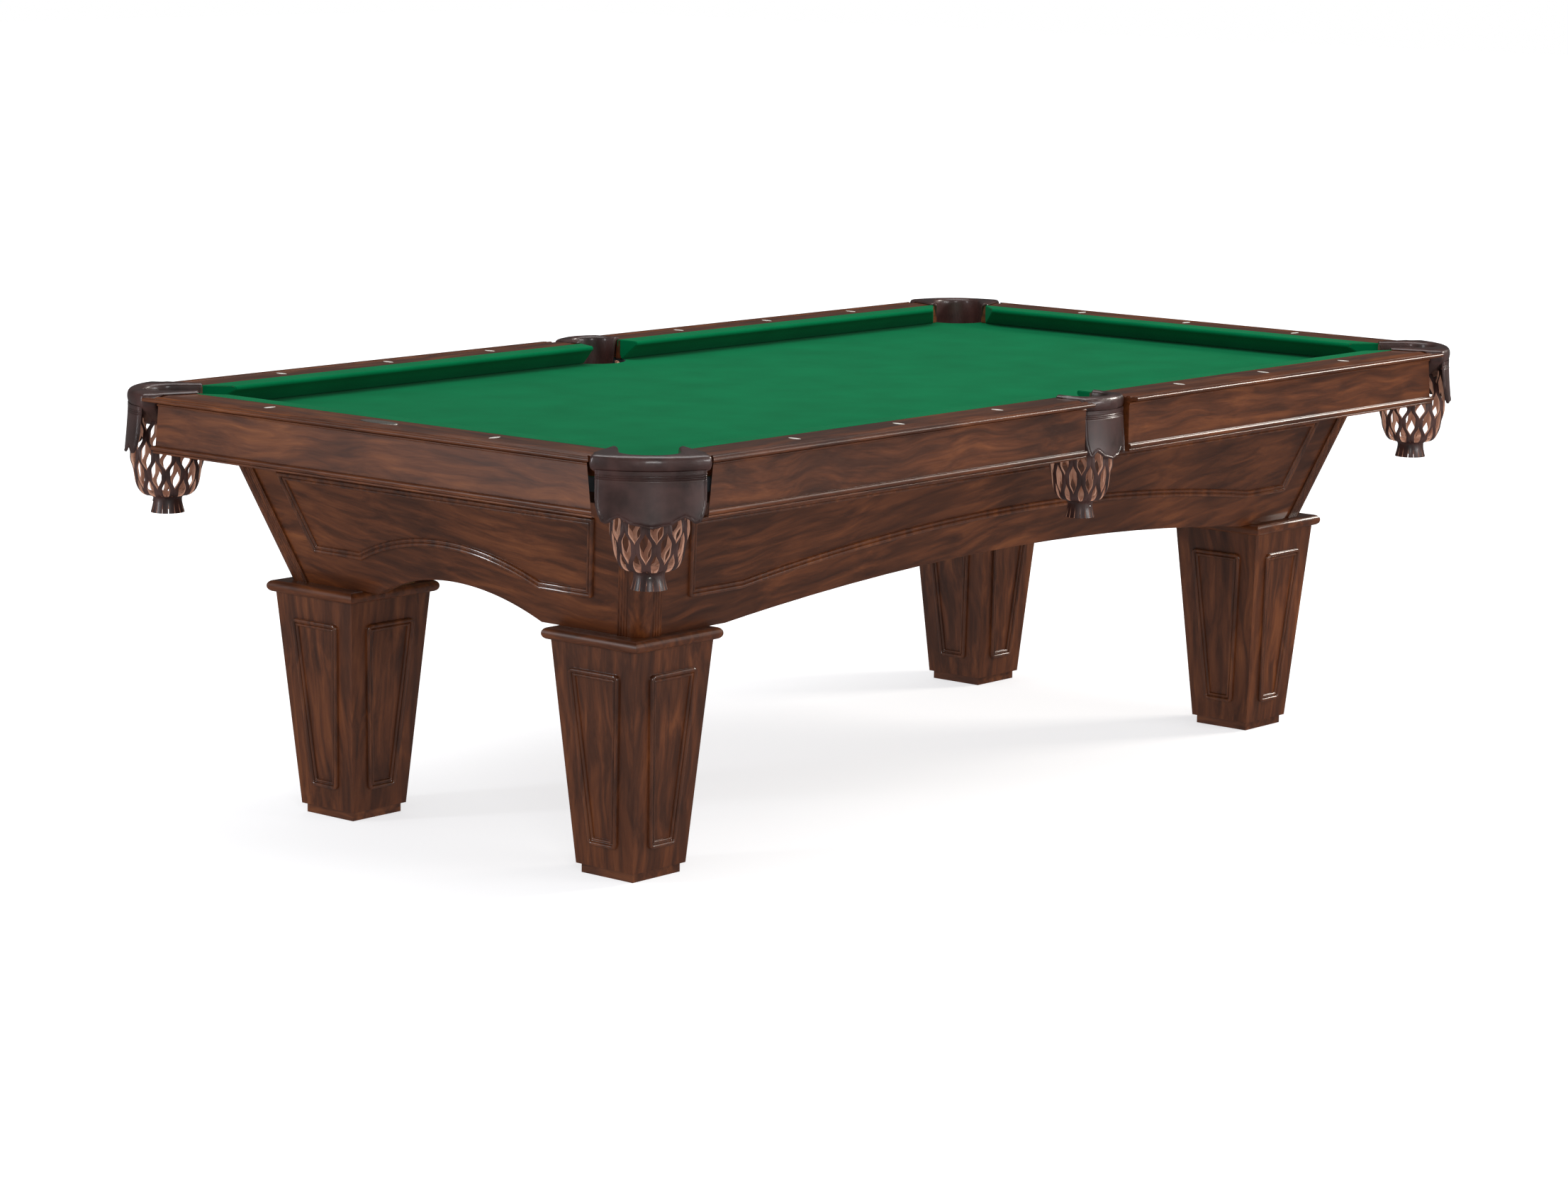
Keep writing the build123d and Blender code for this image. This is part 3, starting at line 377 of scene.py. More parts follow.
LEG_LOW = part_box("leg_left_head")[0].z
LEG_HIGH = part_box("leg_left_head")[1].z
LEG_HALF = (68 * MM, 100 * MM)
LEG_FRAME = [Vector((-34 * MM, 56 * MM)), Vector((34 * MM, 56 * MM)), Vector((61 * MM, 372 * MM)),
             Vector((-61 * MM, 372 * MM))]
LEG_SPREAD = [(x * 928.6 * MM, y * 350.6 * MM) for x in (-1, 1) for y in (-1, 1)]

leg_frames = []
for n, (leg_x, leg_y) in enumerate(LEG_SPREAD):
    for face in range(4):
        turn = Matrix.Rotation(face * math.pi / 2, 3, "Z")

        def on_leg(u, z, off, turn=turn, leg_x=leg_x, leg_y=leg_y):
            grow = (LEG_HALF[1] - LEG_HALF[0]) / (LEG_HIGH - LEG_LOW)
            out = LEG_HALF[0] + grow * (z - LEG_LOW) + off
            return turn @ Vector((u, -out, z)) + Vector((leg_x, leg_y, 0))

        leg_frames.append(planted_frame(f"leg_{n}{face}", LEG_FRAME, [11, 11, 11, 11], on_leg))
beads = joined("leg_panel_frames", leg_frames)
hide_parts("leg_frames")
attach(beads, "table")

# ---------------------------------------------------------------- billiard cloth
# Green worsted wool, stretched over the slates and stapled under their edge, with a very short nap:
# the weave is finer than shows, so only a faint cross pattern and a soft sheen are drawn.
CLOTH = 1.0 * MM
THREAD = 1.6 * MM          # drawn coarser than the real 0.4 mm thread, so that it shows


def worsted(name, colour, darker):
    material, tree, place, shader = new_material(name)
    nap = add(tree, "ShaderNodeTexNoise", {"Vector": place, "Scale": 9.0, "Detail": 3.0})
    fine = add(tree, "ShaderNodeTexNoise", {"Vector": place, "Scale": 1 / THREAD, "Detail": 2.0})
    blend = add(tree, "ShaderNodeMath", {0: fine.outputs["Fac"], 1: 0.5, 2: nap.outputs["Fac"]},
                operation="MULTIPLY_ADD")
    dye = add(tree, "ShaderNodeValToRGB", {"Fac": blend.outputs[0]}, stops=[(0.45, darker), (1.05, colour)])
    tree.links.new(dye.outputs["Color"], shader.inputs["Base Color"])
    warp = add(tree, "ShaderNodeTexWave", {"Vector": place, "Scale": 0.32 / THREAD, "Distortion": 0.6},
               bands_direction="X")
    weft = add(tree, "ShaderNodeTexWave", {"Vector": place, "Scale": 0.32 / THREAD, "Distortion": 0.6},
               bands_direction="Y")
    weave = add(tree, "ShaderNodeMath", {0: warp.outputs["Fac"], 1: weft.outputs["Fac"]},
                operation="MULTIPLY")
    bump = add(tree, "ShaderNodeBump", {"Height": weave.outputs[0], "Strength": 0.10, "Distance": 0.2 * MM})
    tree.links.new(bump.outputs[0], shader.inputs["Normal"])
    shader.inputs["Roughness"].default_value = 0.92
    shader.inputs["Specular IOR Level"].default_value = 0.02
    shader.inputs["Sheen Weight"].default_value = 0.01
    shader.inputs["Sheen Roughness"].default_value = 0.5
    return material


BAIZE = worsted("worsted_wool_cloth", "#00613A", "#005733")

NOSE_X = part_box("cushion_foot")[0].x - CLOTH
NOSE_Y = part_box("cushion_right_foot")[0].y - CLOTH
BED_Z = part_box("bed_cloth")[1].z
BED_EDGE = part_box("bed_cloth")[1]
CORNER_OUT = 58 * MM       # pocket hole centres, outward of the nose lines
SIDE_OUT = 62 * MM
HOLE_R = 66.5 * MM         # the cloth's cut round a pocket, just outside the slate's
HOLE_STEPS = 24


def bed_edge():
    """The cloth's outline in the +X +Y quarter, from the side pocket round to the end's middle."""
    points = []
    side_y = NOSE_Y + SIDE_OUT
    for k in range(HOLE_STEPS // 2 + 1):
        turn = -math.pi / 2 + math.pi / 2 * k / (HOLE_STEPS // 2)
        points.append(Vector((HOLE_R * math.cos(turn), side_y + HOLE_R * math.sin(turn))))
    points.append(Vector((HOLE_R, BED_EDGE.y)))
    centre = Vector((NOSE_X, NOSE_Y)) + Vector((1, 1)) * (CORNER_OUT / math.sqrt(2))
    mouth = HOLE_R + 8 * MM
    across = Vector((-1, 1)) / math.sqrt(2)
    outward = Vector((1, 1)) / math.sqrt(2)
    start = centre + across * mouth
    points.append(start + outward * (BED_EDGE.y - start.y) * math.sqrt(2))
    for k in range(HOLE_STEPS + 1):
        turn = math.pi - math.pi * k / HOLE_STEPS
        spin = across * -math.cos(turn) * HOLE_R - outward * math.sin(turn) * HOLE_R
        points.append(centre + spin)
    end = centre - across * mouth
    points.append(end + outward * (BED_EDGE.x - end.x) * math.sqrt(2))
    return points


quarter = bed_edge()
outline = [Vector((p.x, p.y)) for p in quarter]
outline += [Vector((p.x, -p.y)) for p in reversed(quarter)]
outline += [Vector((-p.x, -p.y)) for p in quarter]
outline += [Vector((-p.x, p.y)) for p in reversed(quarter)]
mesh = bmesh.new()
ring = [mesh.verts.new((p.x, p.y, BED_Z)) for p in outline]
mesh.faces.new(ring)
bmesh.ops.remove_doubles(mesh, verts=mesh.verts, dist=0.01 * MM)
bmesh.ops.triangulate(mesh, faces=mesh.faces, quad_method="BEAUTY", ngon_method="BEAUTY")
bmesh.ops.recalc_face_normals(mesh, faces=mesh.faces)
under = bmesh.ops.extrude_face_region(mesh, geom=mesh.faces[:])
for item in under["geom"]:
    if isinstance(item, bmesh.types.BMVert):
        item.co.z -= CLOTH * 0.9
bmesh.ops.recalc_face_normals(mesh, faces=mesh.faces)
bed_cloth = finished("bed_cloth_sheet", mesh, BAIZE)
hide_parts("bed_cloth")
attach(bed_cloth, "table")

# ---------------------------------------------------------------- rail cloth
# The same cloth over the rubber cushions: tucked into the feather-strip groove, pulled over the
# nose, folded over the cut ends of the cushion and stapled under the rail.
RAIL_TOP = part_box("rail_foot")[1].z
COVER = [                # outward of the nose and height, in mm, round the outside of the cloth
    (45.0, -8.0), (45.0, -1.2), (43.6, 0.0), (40.0, 0.0), (24.0, -0.5), (12.0, -0.9), (6.0, -1.0),
    (3.2, -1.3), (1.3, -2.5), (0.2, -4.0), (-0.2, -6.0), (0.2, -8.0), (1.5, -9.8), (4.2, -11.2),
    (14.0, -20.4), (24.0, -29.9), (30.0, -35.2), (33.0, -38.0), (34.6, -39.0)]
FACING_REACH = 48.0      # how far out of the nose the cushion's end plane runs
END_LAP = 1.4 * MM       # the cloth and its facing, past the rubber's cut end
STATIONS = 60


def rail_cover(name, length_low, length_high, nose, along, side):
    """Cloth on one cushion. Each end is (nose point, shift by the feather strip), along the rail."""
    mesh = bmesh.new()
    rows = []
    for k in range(STATIONS + 1):
        share = k / STATIONS
        row = []
        for out, drop in COVER:
            low = length_low[0] + length_low[1] * out / FACING_REACH - END_LAP
            high = length_high[0] + length_high[1] * out / FACING_REACH + END_LAP
            s = low + (high - low) * share
            o = nose + out * MM
            z = RAIL_TOP + drop * MM
            row.append(mesh.verts.new((s, side * o, z) if along == "x" else (side * o, s, z)))
        rows.append(row)
    for a, b in zip(rows, rows[1:]):
        for i in range(len(COVER) - 1):
            mesh.faces.new((a[i], a[i + 1], b[i + 1], b[i]))
    for row in (rows[0], rows[-1]):
        mesh.faces.new(row)
    edges = [e for e in mesh.edges if len(e.link_faces) == 2
             and any(len(f.verts) > 4 for f in e.link_faces) and not e.is_boundary]
    bmesh.ops.recalc_face_normals(mesh, faces=mesh.faces)
    bmesh.ops.bevel(mesh, geom=edges, offset=1.2 * MM, segments=3, affect="EDGES")
    cover = finished(name, mesh, BAIZE)
    for polygon in cover.data.polygons:
        polygon.use_smooth = True
    return cover


CORNER_POINT = 94 * MM       # nose points, back from where the nose lines meet
CORNER_SHIFT = 61.4 * MM
SIDE_POINT = 66 * MM
SIDE_SHIFT = -12 * MM
covers = []
for side, word in ((-1, "left"), (1, "right")):
    for end, hand in ((-1, "head"), (1, "foot")):
        near, far = (SIDE_POINT, SIDE_SHIFT), (NOSE_X - CORNER_POINT, CORNER_SHIFT)
        if end < 0:
            near, far = (-far[0], -far[1]), (-near[0], -near[1])
        covers.append(rail_cover(f"cloth_{word}_{hand}", near, far, NOSE_Y, "x", side))
for end, hand in ((-1, "head"), (1, "foot")):
    reach = NOSE_Y - CORNER_POINT
    near, far = (-reach, -CORNER_SHIFT), (reach, CORNER_SHIFT)
    covers.append(rail_cover(f"cloth_{hand}", near, far, NOSE_X, "y", end))
for cover in covers:
    if cover is covers[0]:
        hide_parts("rail_cloth")
    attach(cover, "table")

# ---------------------------------------------------------------- rubber, slate and hidden timber
# What the finished table hides: gum rubber under the cloth, honed slate, a backer coloured dark as
# painted shade where it shows beside the shields, and plain sawn pine for the beams and the corner blocks.


def plain_finish(name, light, dark, scale, rough, metallic=0.0, bump_high=0.2):
    """A finish with one mottle of two close colours, and a bump of the same pattern."""
    material, tree, place, shader = new_material(name)
    mottle = add(tree, "ShaderNodeTexNoise", {"Vector": place, "Scale": scale, "Detail": 5.0})
    colour = add(tree, "ShaderNodeValToRGB", {"Fac": mottle.outputs["Fac"]},
                 stops=[(0.3, dark), (0.7, light)])
    tree.links.new(colour.outputs["Color"], shader.inputs["Base Color"])
    bump = add(tree, "ShaderNodeBump", {"Height": mottle.outputs["Fac"], "Strength": 0.4,
                                        "Distance": bump_high * MM})
    tree.links.new(bump.outputs[0], shader.inputs["Normal"])
    shader.inputs["Roughness"].default_value = rough
    shader.inputs["Metallic"].default_value = metallic
    return material


GUM_RUBBER = plain_finish("gum_rubber", "#5A4634", "#4A3829", 300.0, 0.8)
SLATE = plain_finish("honed_slate", "#4A5054", "#363B3F", 40.0, 0.6)
PINE = plain_finish("sawn_pine", "#C39A66", "#A87F4E", 60.0, 0.75, bump_high=0.5)
# The backer's dark brown is painted shade: beside the shields this strip is wood standing in shadow.
BACKER_PAINTED_SHADE = plain_finish("backer_painted_shade", "#3A2013", "#2A160C", 60.0, 0.6, bump_high=0.5)
ZINC = plain_finish("zinc_plated_steel", "#C9CBCD", "#AEB2B6", 400.0, 0.35, metallic=1.0, bump_high=0.02)
CAST_IRON = plain_finish("cast_iron", "#2E2E2F", "#1E1E1F", 500.0, 0.7, metallic=0.6)
NYLON = plain_finish("moulded_nylon", "#1C1C1D", "#161617", 800.0, 0.55, bump_high=0.05)
HIDDEN = {"slate_backer": BACKER_PAINTED_SHADE, "bed_beams": PINE, "corner_blocks": PINE, "rail_bolts": ZINC,
          "leg_bolts": ZINC, "slate_screws": ZINC, "leveller_inserts": ZINC, "pocket_irons": CAST_IRON}
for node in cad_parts:
    if node.startswith("cushion_"):
        dress(node, GUM_RUBBER)
    elif node in ("slate_head", "slate_middle", "slate_foot"):
        dress(node, SLATE)
    elif node.startswith("leveller_pad"):
        dress(node, NYLON)
    elif node.startswith("leveller_stud"):
        dress(node, ZINC)
    elif node in HIDDEN:
        dress(node, HIDDEN[node])

# ---------------------------------------------------------------- sights and plate
# White plastic sights with a pearl mottle, let into the rail tops, and a blank brushed metal oval in
# the middle of one end rail.
PEARL = plain_finish("pearl_plastic", "#F4F1EA", "#D9D6CE", 180.0, 0.22, bump_high=0.0)
dress("rail_sights", PEARL)
PLATE = plain_finish("brushed_plate", "#C9C5BC", "#8F8B84", 900.0, 0.32, metallic=1.0, bump_high=0.1)
dress("rail_plate", PLATE)

# ---------------------------------------------------------------- pocket leather
# Plum-brown bridle leather, pulled wet over the pocket iron's padding and burnished: close grain,
# soft creases, and a waxed gloss. Its cut edges and the inside of the nets are the undyed hide.
PORE = 1.1 * MM


def dyed_leather(name, light, dark, rough=0.34, coat=0.35):
    material, tree, place, shader = new_material(name)
    cells = add(tree, "ShaderNodeTexVoronoi", {"Vector": place, "Scale": 1 / PORE, "Randomness": 1.0},
                feature="DISTANCE_TO_EDGE")
    patches = add(tree, "ShaderNodeTexNoise", {"Vector": place, "Scale": 22.0, "Detail": 4.0})
    colour = add(tree, "ShaderNodeValToRGB", {"Fac": patches.outputs["Fac"]},
                 stops=[(0.35, dark), (0.68, light)])
    tree.links.new(colour.outputs["Color"], shader.inputs["Base Color"])
    wear = add(tree, "ShaderNodeMapRange", {"Value": patches.outputs["Fac"], "To Min": rough - 0.06,
                                            "To Max": rough + 0.10})
    tree.links.new(wear.outputs[0], shader.inputs["Roughness"])
    grain = add(tree, "ShaderNodeMapRange", {"Value": cells.outputs["Distance"], "From Max": 0.12})
    creases = add(tree, "ShaderNodeTexNoise", {"Vector": place, "Scale": 90.0, "Detail": 3.0})
    height = add(tree, "ShaderNodeMath", {0: creases.outputs["Fac"], 1: 2.0, 2: grain.outputs[0]},
                 operation="MULTIPLY_ADD")
    bump = add(tree, "ShaderNodeBump", {"Height": height.outputs[0], "Strength": 0.22, "Distance": 0.35 * MM})
    tree.links.new(bump.outputs[0], shader.inputs["Normal"])
    shader.inputs["Coat Weight"].default_value = coat
    shader.inputs["Coat Roughness"].default_value = 0.18
    shader.inputs["IOR"].default_value = 1.5
    return material


HIDE = dyed_leather("burnished_hide", "#452A26", "#2A1815", rough=0.36, coat=0.5)
STRAP = dyed_leather("net_strap_hide", "#4B2F2A", "#2B1815", rough=0.38, coat=0.25)
RAW = dyed_leather("undyed_cut_hide", "#CDA189", "#AA7A64", rough=0.7, coat=0.0)
THREAD_FINISH = plain_finish("waxed_thread", "#5E463D", "#4A342D", 900.0, 0.6, bump_high=0.05)

POCKETS = []
for end, end_word in ((-1, "head"), (1, "foot")):
    for side, side_word in ((-1, "left"), (1, "right")):
        frame_of = Matrix.Translation((end * NOSE_X, side * NOSE_Y, 0)) @ Matrix.Rotation(
            math.atan2(-end, side), 4, "Z")
        POCKETS.append((f"{side_word}_{end_word}", frame_of, True))
for side, side_word in ((-1, "left"), (1, "right")):
    frame_of = Matrix.Translation((0, side * NOSE_Y, 0)) @ Matrix.Rotation(0 if side > 0 else math.pi, 4, "Z")
    POCKETS.append((f"{side_word}_middle", frame_of, False))

# Sizes of the two kinds of collar in mm, across the pocket and outward from the nose lines.
COLLARS = {
    True: dict(opening=50, centre=52, mouth=-4, flank=[(64, -4), (95.5, 66), (102, 96)], front=129,
               shield=93, shield_low=673, net=1.0, net_out=58, drops=(1, 9, 21, 31)),
    False: dict(opening=46, centre=62, mouth=46, flank=[(62, 46), (62, 67), (61.2, 112)], front=128,
                shield=60.5, shield_low=676, net=0.88, net_out=62, drops=(0, 4, 4, 8)),
}
COLLAR_LOW = 764.0
WALL_LOW = 727.0
BED_LINE = 748.4         # just above the bed cloth
RAIL_LINE = 787.75       # just above the rails
# A leather skin over the iron, in one piece: up the inner wall, over the padded top, and either
# down on to the rail or, between the rails' ends, round the thick front roll.
SKIN = [                # side measured from, distance from it, height over a rail, height in front
    ("in", 0.0, None, None), ("in", 0.0, 770.0, 770.0), ("in", 0.0, 786.0, 785.0), ("in", 0.9, 789.6, 788.8),
    ("in", 3.2, 791.8, 791.4), ("in", 7.0, 792.6, 792.5), ("mid", 0.5, 793.0, 793.0), ("out", 6.5, 792.6, 791.6),
    ("out", 2.6, 791.4, 789.0), ("out", 0.7, 789.8, 785.0), ("out", 0.0, 788.7, 779.6), ("out", 0.2, 788.1, 774.2),
    ("out", 1.4, 787.8, 769.2), ("out", 4.0, 787.75, 765.6), ("out", 8.0, 787.75, 764.2),
    ("wall", 4.0, None, None)]


def polar_reach(outline, centre, angle):
    """Distance from a centre to an open outline, in a direction."""
    ray = Vector((math.cos(angle), math.sin(angle)))
    for a, b in zip(outline, outline[1:]):
        side = b - a
        cross = ray.x * side.y - ray.y * side.x
        if abs(cross) < 1e-9:
            continue
        offset = a - centre
        reach = (offset.x * side.y - offset.y * side.x) / cross
        share = (offset.x * ray.y - offset.y * ray.x) / cross
        if reach > 0 and -1e-6 <= share <= 1 + 1e-6:
            return reach
    raise ValueError("no outline that way")


def front_arc(c):
    """Radius and centre, outward, of a collar's curved front."""
    (x, y) = c["flank"][2]
    rise = c["front"] - y
    radius = (x * x + rise * rise) / (2 * rise)
    return radius, c["front"] - radius


def collar_outline(c):
    radius, middle = front_arc(c)
    flank = [Vector(p) for p in c["flank"]]
    span = math.asin(flank[2].x / radius)
    arc = [Vector((radius * math.sin(t * span / 30), middle + radius * math.cos(t * span / 30)))
           for t in range(30, -31, -1)]
    return flank[:2] + arc + [Vector((-p.x, p.y)) for p in reversed(flank[:2])]


def smooth(low, high, value):
    share = min(max((value - low) / (high - low), 0.0), 1.0)
    return share * share * (3 - 2 * share)


def collar_mesh(c, seed):
    """One collar in its pocket's own frame, in mm: across, outward, up."""
    outline = collar_outline(c)
    centre = Vector((0, c["centre"]))
    stations = []
    arm = max(4, round((c["centre"] - c["mouth"]) / 3))
    for k in range(arm):
        y = c["mouth"] + (c["centre"] - c["mouth"]) * k / arm
        flank_x = polar_reach(outline, Vector((0, y)), 0.0)
        stations.append((Vector((c["opening"], y)), Vector((flank_x, y))))
    turns = 72
    for k in range(turns + 1):
        angle = math.pi * k / turns
        ray = Vector((math.cos(angle), math.sin(angle)))
        stations.append((centre + ray * c["opening"], centre + ray * polar_reach(outline, centre, angle)))
    stations += [(Vector((-a.x, a.y)), Vector((-b.x, b.y))) for a, b in reversed(stations[:arm])]
    rng = random.Random(seed)
    phase = rng.uniform(0, 50)
    mesh = bmesh.new()
    rings = []
    drop_start, at_bed, past_slate, low_end = (c["mouth"] + reach for reach in c["drops"])
    for inner, outer in stations:
        across = outer - inner
        wide = across.length
        step = across / wide
        front = smooth(c["flank"][1][1] - 5, c["flank"][1][1] + 7, outer.y)
        low = RAIL_LINE - (RAIL_LINE - BED_LINE) * smooth(drop_start, at_bed, inner.y)
        low -= (BED_LINE - WALL_LOW) * smooth(past_slate, low_end, inner.y)
        ring = []
        for side, distance, over_rail, ahead in SKIN:
            if side == "wall":
                p, z = inner + step * min(distance, wide * 0.5), low
            elif side == "in" and over_rail is None:
                p, z = inner, low
            else:
                z = over_rail + (ahead - over_rail) * front
                z = max(z, low + 0.2)
                if side == "in":
                    p = inner + step * distance
                elif side == "mid":
                    p = inner + across * distance
                else:
                    p = outer - step * min(distance, wide * 0.4)
            crease = noise.noise(Vector((p.x * 0.09 + phase, p.y * 0.09, z * 0.12)))
            fold = noise.noise(Vector((p.x * 0.35, p.y * 0.10 + phase, z * 0.05))) * front
            swell = 0.55 * crease + 0.22 * fold
            if side == "out" and distance < 3:
                p = p + step * swell
            elif side != "wall":
                z += swell * 0.5 if z > 786 else 0
            ring.append(mesh.verts.new((p.x, p.y, z)))
        rings.append(ring)
    count = len(SKIN)
    for a, b in zip(rings, rings[1:]):
        for i in range(count):
            j = (i + 1) % count
            mesh.faces.new((a[i], a[j], b[j], b[i]))
    mesh.faces.new(rings[0])
    mesh.faces.new(rings[-1])
    bmesh.ops.recalc_face_normals(mesh, faces=mesh.faces)
    return mesh


def placed(name, mesh, where, *materials):
    """A mesh made in mm in a pocket's own frame, put in its place in the table's."""
    bmesh.ops.transform(mesh, matrix=where @ Matrix.Scale(MM, 4), verts=mesh.verts)
    piece = finished(name, mesh, *materials)
    return piece


def made_plain(piece):
    """Keeps what a piece's modifiers make as its own mesh, and removes them."""
    plain = bpy.data.meshes.new_from_object(piece.evaluated_get(bpy.context.evaluated_depsgraph_get()))
    piece.modifiers.clear()
    piece.data = plain
    return piece


def subdivided(piece, levels):
    modifier = piece.modifiers.new("smooth", "SUBSURF")
    modifier.levels = levels
    modifier.render_levels = levels
    return made_plain(piece)


for index, (pocket, where, corner) in enumerate(POCKETS):
    collar = placed(f"collar_{pocket}", collar_mesh(COLLARS[corner], 11 + index), where, HIDE)
    subdivided(collar, 1)
    if index == 0:
        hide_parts("corner_collars")
    elif index == 4:
        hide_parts("side_collars")
    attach(collar, "table")

# The shield is a shaped flap of thick leather hung under the roll, with three tooled lines below
# its top, a scalloped lower edge with a tooled border, and rows of pale stitching.
SHIELD_THICK = 3.4
RIM_STEPS = 300          # points along each half of the lower edge, to measure the border from
SIDE_STEPS = 60          # and up each side, 1 mm apart
SCALLOP = [(0, 0), (0.10, 1.6), (0.20, 4.3), (0.28, 5.2), (0.37, 6.8), (0.48, 13.0), (0.59, 18.0), (0.68, 14.0),
           (0.76, 8.2), (0.82, 7.0), (0.885, 9.5), (0.94, 18.0), (0.98, 30.0), (1.0, 44.0)]
SHIELD_COLUMNS = 150
SHIELD_ROWS = 84
SHIELD_BAND = 44          # rows below the tooled lines
TOOLED = [5.2, 8.4, 11.6]      # tooled lines, below the shield's top
BORDER = 5.0
FLARE = 8.0


def between(table, x):
    """A smooth curve through a few points, by cosine steps."""
    for (x0, y0), (x1, y1) in zip(table, table[1:]):
        if x <= x1:
            share = (x - x0) / (x1 - x0)
            return y0 + (y1 - y0) * (share * 0.5 + 0.5 * share * share * (3 - 2 * share))
    return table[-1][1]


def on_shield(c, x, z):
    """The point of a shield's outer face at a distance across and a height."""
    radius, middle = front_arc(c)
    top = COLLAR_LOW + 3
    drop = (top - z) / (top - c["shield_low"])
    radius = radius - 1.2 + FLARE * max(drop, 0) ** 1.5
    return Vector((x, middle + math.sqrt(radius ** 2 - x ** 2), z))


def shield_edge(c, share):
    return c["shield_low"] + between(SCALLOP, abs(share)) * (1.0 if c["shield"] > 80 else 0.9)


def shield_mesh(c):
    """The flap's face, sunk along its tooled lines and round its border, and its back."""
    mesh = bmesh.new()
    half = c["shield"]
    top = COLLAR_LOW + 3
    band = top - 20.0          # above this the rows are level, to keep the tooled lines crisp
    middle = front_arc(c)[1]
    shares = [math.sin(math.pi / 2 * (2 * i / SHIELD_COLUMNS - 1)) for i in range(SHIELD_COLUMNS + 1)]
    rim = [Vector((half * k / RIM_STEPS, shield_edge(c, k / RIM_STEPS), 0))
           for k in range(-RIM_STEPS, RIM_STEPS + 1)]
    rim += [Vector((side * half, rim[0].y + k, 0)) for side in (-1, 1) for k in range(SIDE_STEPS)]
    near_rim = kdtree.KDTree(len(rim))
    for k, point in enumerate(rim):
        near_rim.insert(point, k)
    near_rim.balance()
    rows = []
    for j in range(SHIELD_ROWS + 1):
        row = []
        for share in shares:
            low = shield_edge(c, share)
            if j > SHIELD_BAND:
                z = band + (top - band) * (j - SHIELD_BAND) / (SHIELD_ROWS - SHIELD_BAND)
            else:
                z = low + (band - low) * j / SHIELD_BAND
            x = share * half
            inside = near_rim.find(Vector((x, z, 0)))[2]
            sink = 0.8 * math.exp(-((inside - BORDER) / 0.7) ** 2) + 1.2 * math.exp(-(inside / 1.0) ** 2)
            sink -= 0.5 * math.exp(-((inside - 2.6) / 1.2) ** 2)
            for line in TOOLED:
                sink += 1.0 * math.exp(-((COLLAR_LOW - z - line) / 0.75) ** 2)
            p = on_shield(c, x, z)
            away = Vector((p.x, p.y - middle, 0)).normalized()
            wave = noise.noise(Vector((x * 0.02, z * 0.02, half))) * 0.6
            row.append(mesh.verts.new(p - away * (sink - wave)))
        rows.append(row)
    for a, b in zip(rows, rows[1:]):
        for i in range(SHIELD_COLUMNS):
            mesh.faces.new((a[i + 1], a[i], b[i], b[i + 1]))
    skin = bmesh.ops.extrude_face_region(mesh, geom=mesh.faces[:])
    moved = {v for v in skin["geom"] if isinstance(v, bmesh.types.BMVert)}
    for vert in mesh.verts:
        if vert not in moved:
            vert.co.y -= SHIELD_THICK
    bmesh.ops.recalc_face_normals(mesh, faces=mesh.faces)
    return mesh


def node_group(name, inputs):
    """A geometry tree with its named inputs: the tree, and their sockets."""
    tree = bpy.data.node_groups.new(name, "GeometryNodeTree")
    tree.interface.new_socket("Geometry", in_out="INPUT", socket_type="NodeSocketGeometry")
    for label, kind in inputs.items():
        tree.interface.new_socket(label, in_out="INPUT", socket_type="NodeSocket" + kind)
    tree.interface.new_socket("Geometry", in_out="OUTPUT", socket_type="NodeSocketGeometry")
    return tree, add(tree, "NodeGroupInput").outputs


def stitch_tree():
    """Stitches along a path: the path is spaced out, and each point gets a stitch laid along it."""
    tree, given = node_group("stitch_row", {"Pitch": "Float", "Length": "Float", "Thick": "Float",
                                            "Thread": "Material"})
    path = add(tree, "GeometryNodeMeshToCurve", {"Mesh": given["Geometry"]})
    spaced = add(tree, "GeometryNodeResampleCurve", {"Curve": path.outputs[0], "Length": given["Pitch"]},
                 mode="LENGTH")
    along = add(tree, "GeometryNodeInputTangent")
    turn = add(tree, "FunctionNodeAlignEulerToVector", {"Vector": along.outputs[0]}, axis="X")
    size = add(tree, "ShaderNodeCombineXYZ", {"X": given["Length"], "Y": given["Thick"], "Z": given["Thick"]})
    bead = add(tree, "GeometryNodeMeshUVSphere", {"Segments": 6, "Rings": 4, "Radius": 0.5})
    rows = add(tree, "GeometryNodeInstanceOnPoints", {"Points": spaced.outputs[0], "Instance": bead.outputs[0],
                                                      "Rotation": turn.outputs[0], "Scale": size.outputs[0]})
    real = add(tree, "GeometryNodeRealizeInstances", {"Geometry": rows.outputs[0]})
    coloured = add(tree, "GeometryNodeSetMaterial", {"Geometry": real.outputs[0], "Material": given["Thread"]})
    add(tree, "NodeGroupOutput", {"Geometry": coloured.outputs[0]})
    return tree


def grown(piece, tree, values):
    """Runs a geometry tree on a piece, with its named inputs, and keeps the result as a plain mesh."""
    modifier = piece.modifiers.new("grow", "NODES")
    modifier.node_group = tree
    for item in tree.interface.items_tree:
        if item.in_out == "INPUT" and item.name in values:
            modifier[item.identifier] = values[item.name]
    bpy.context.view_layer.update()
    return made_plain(piece)


STITCHES = stitch_tree()


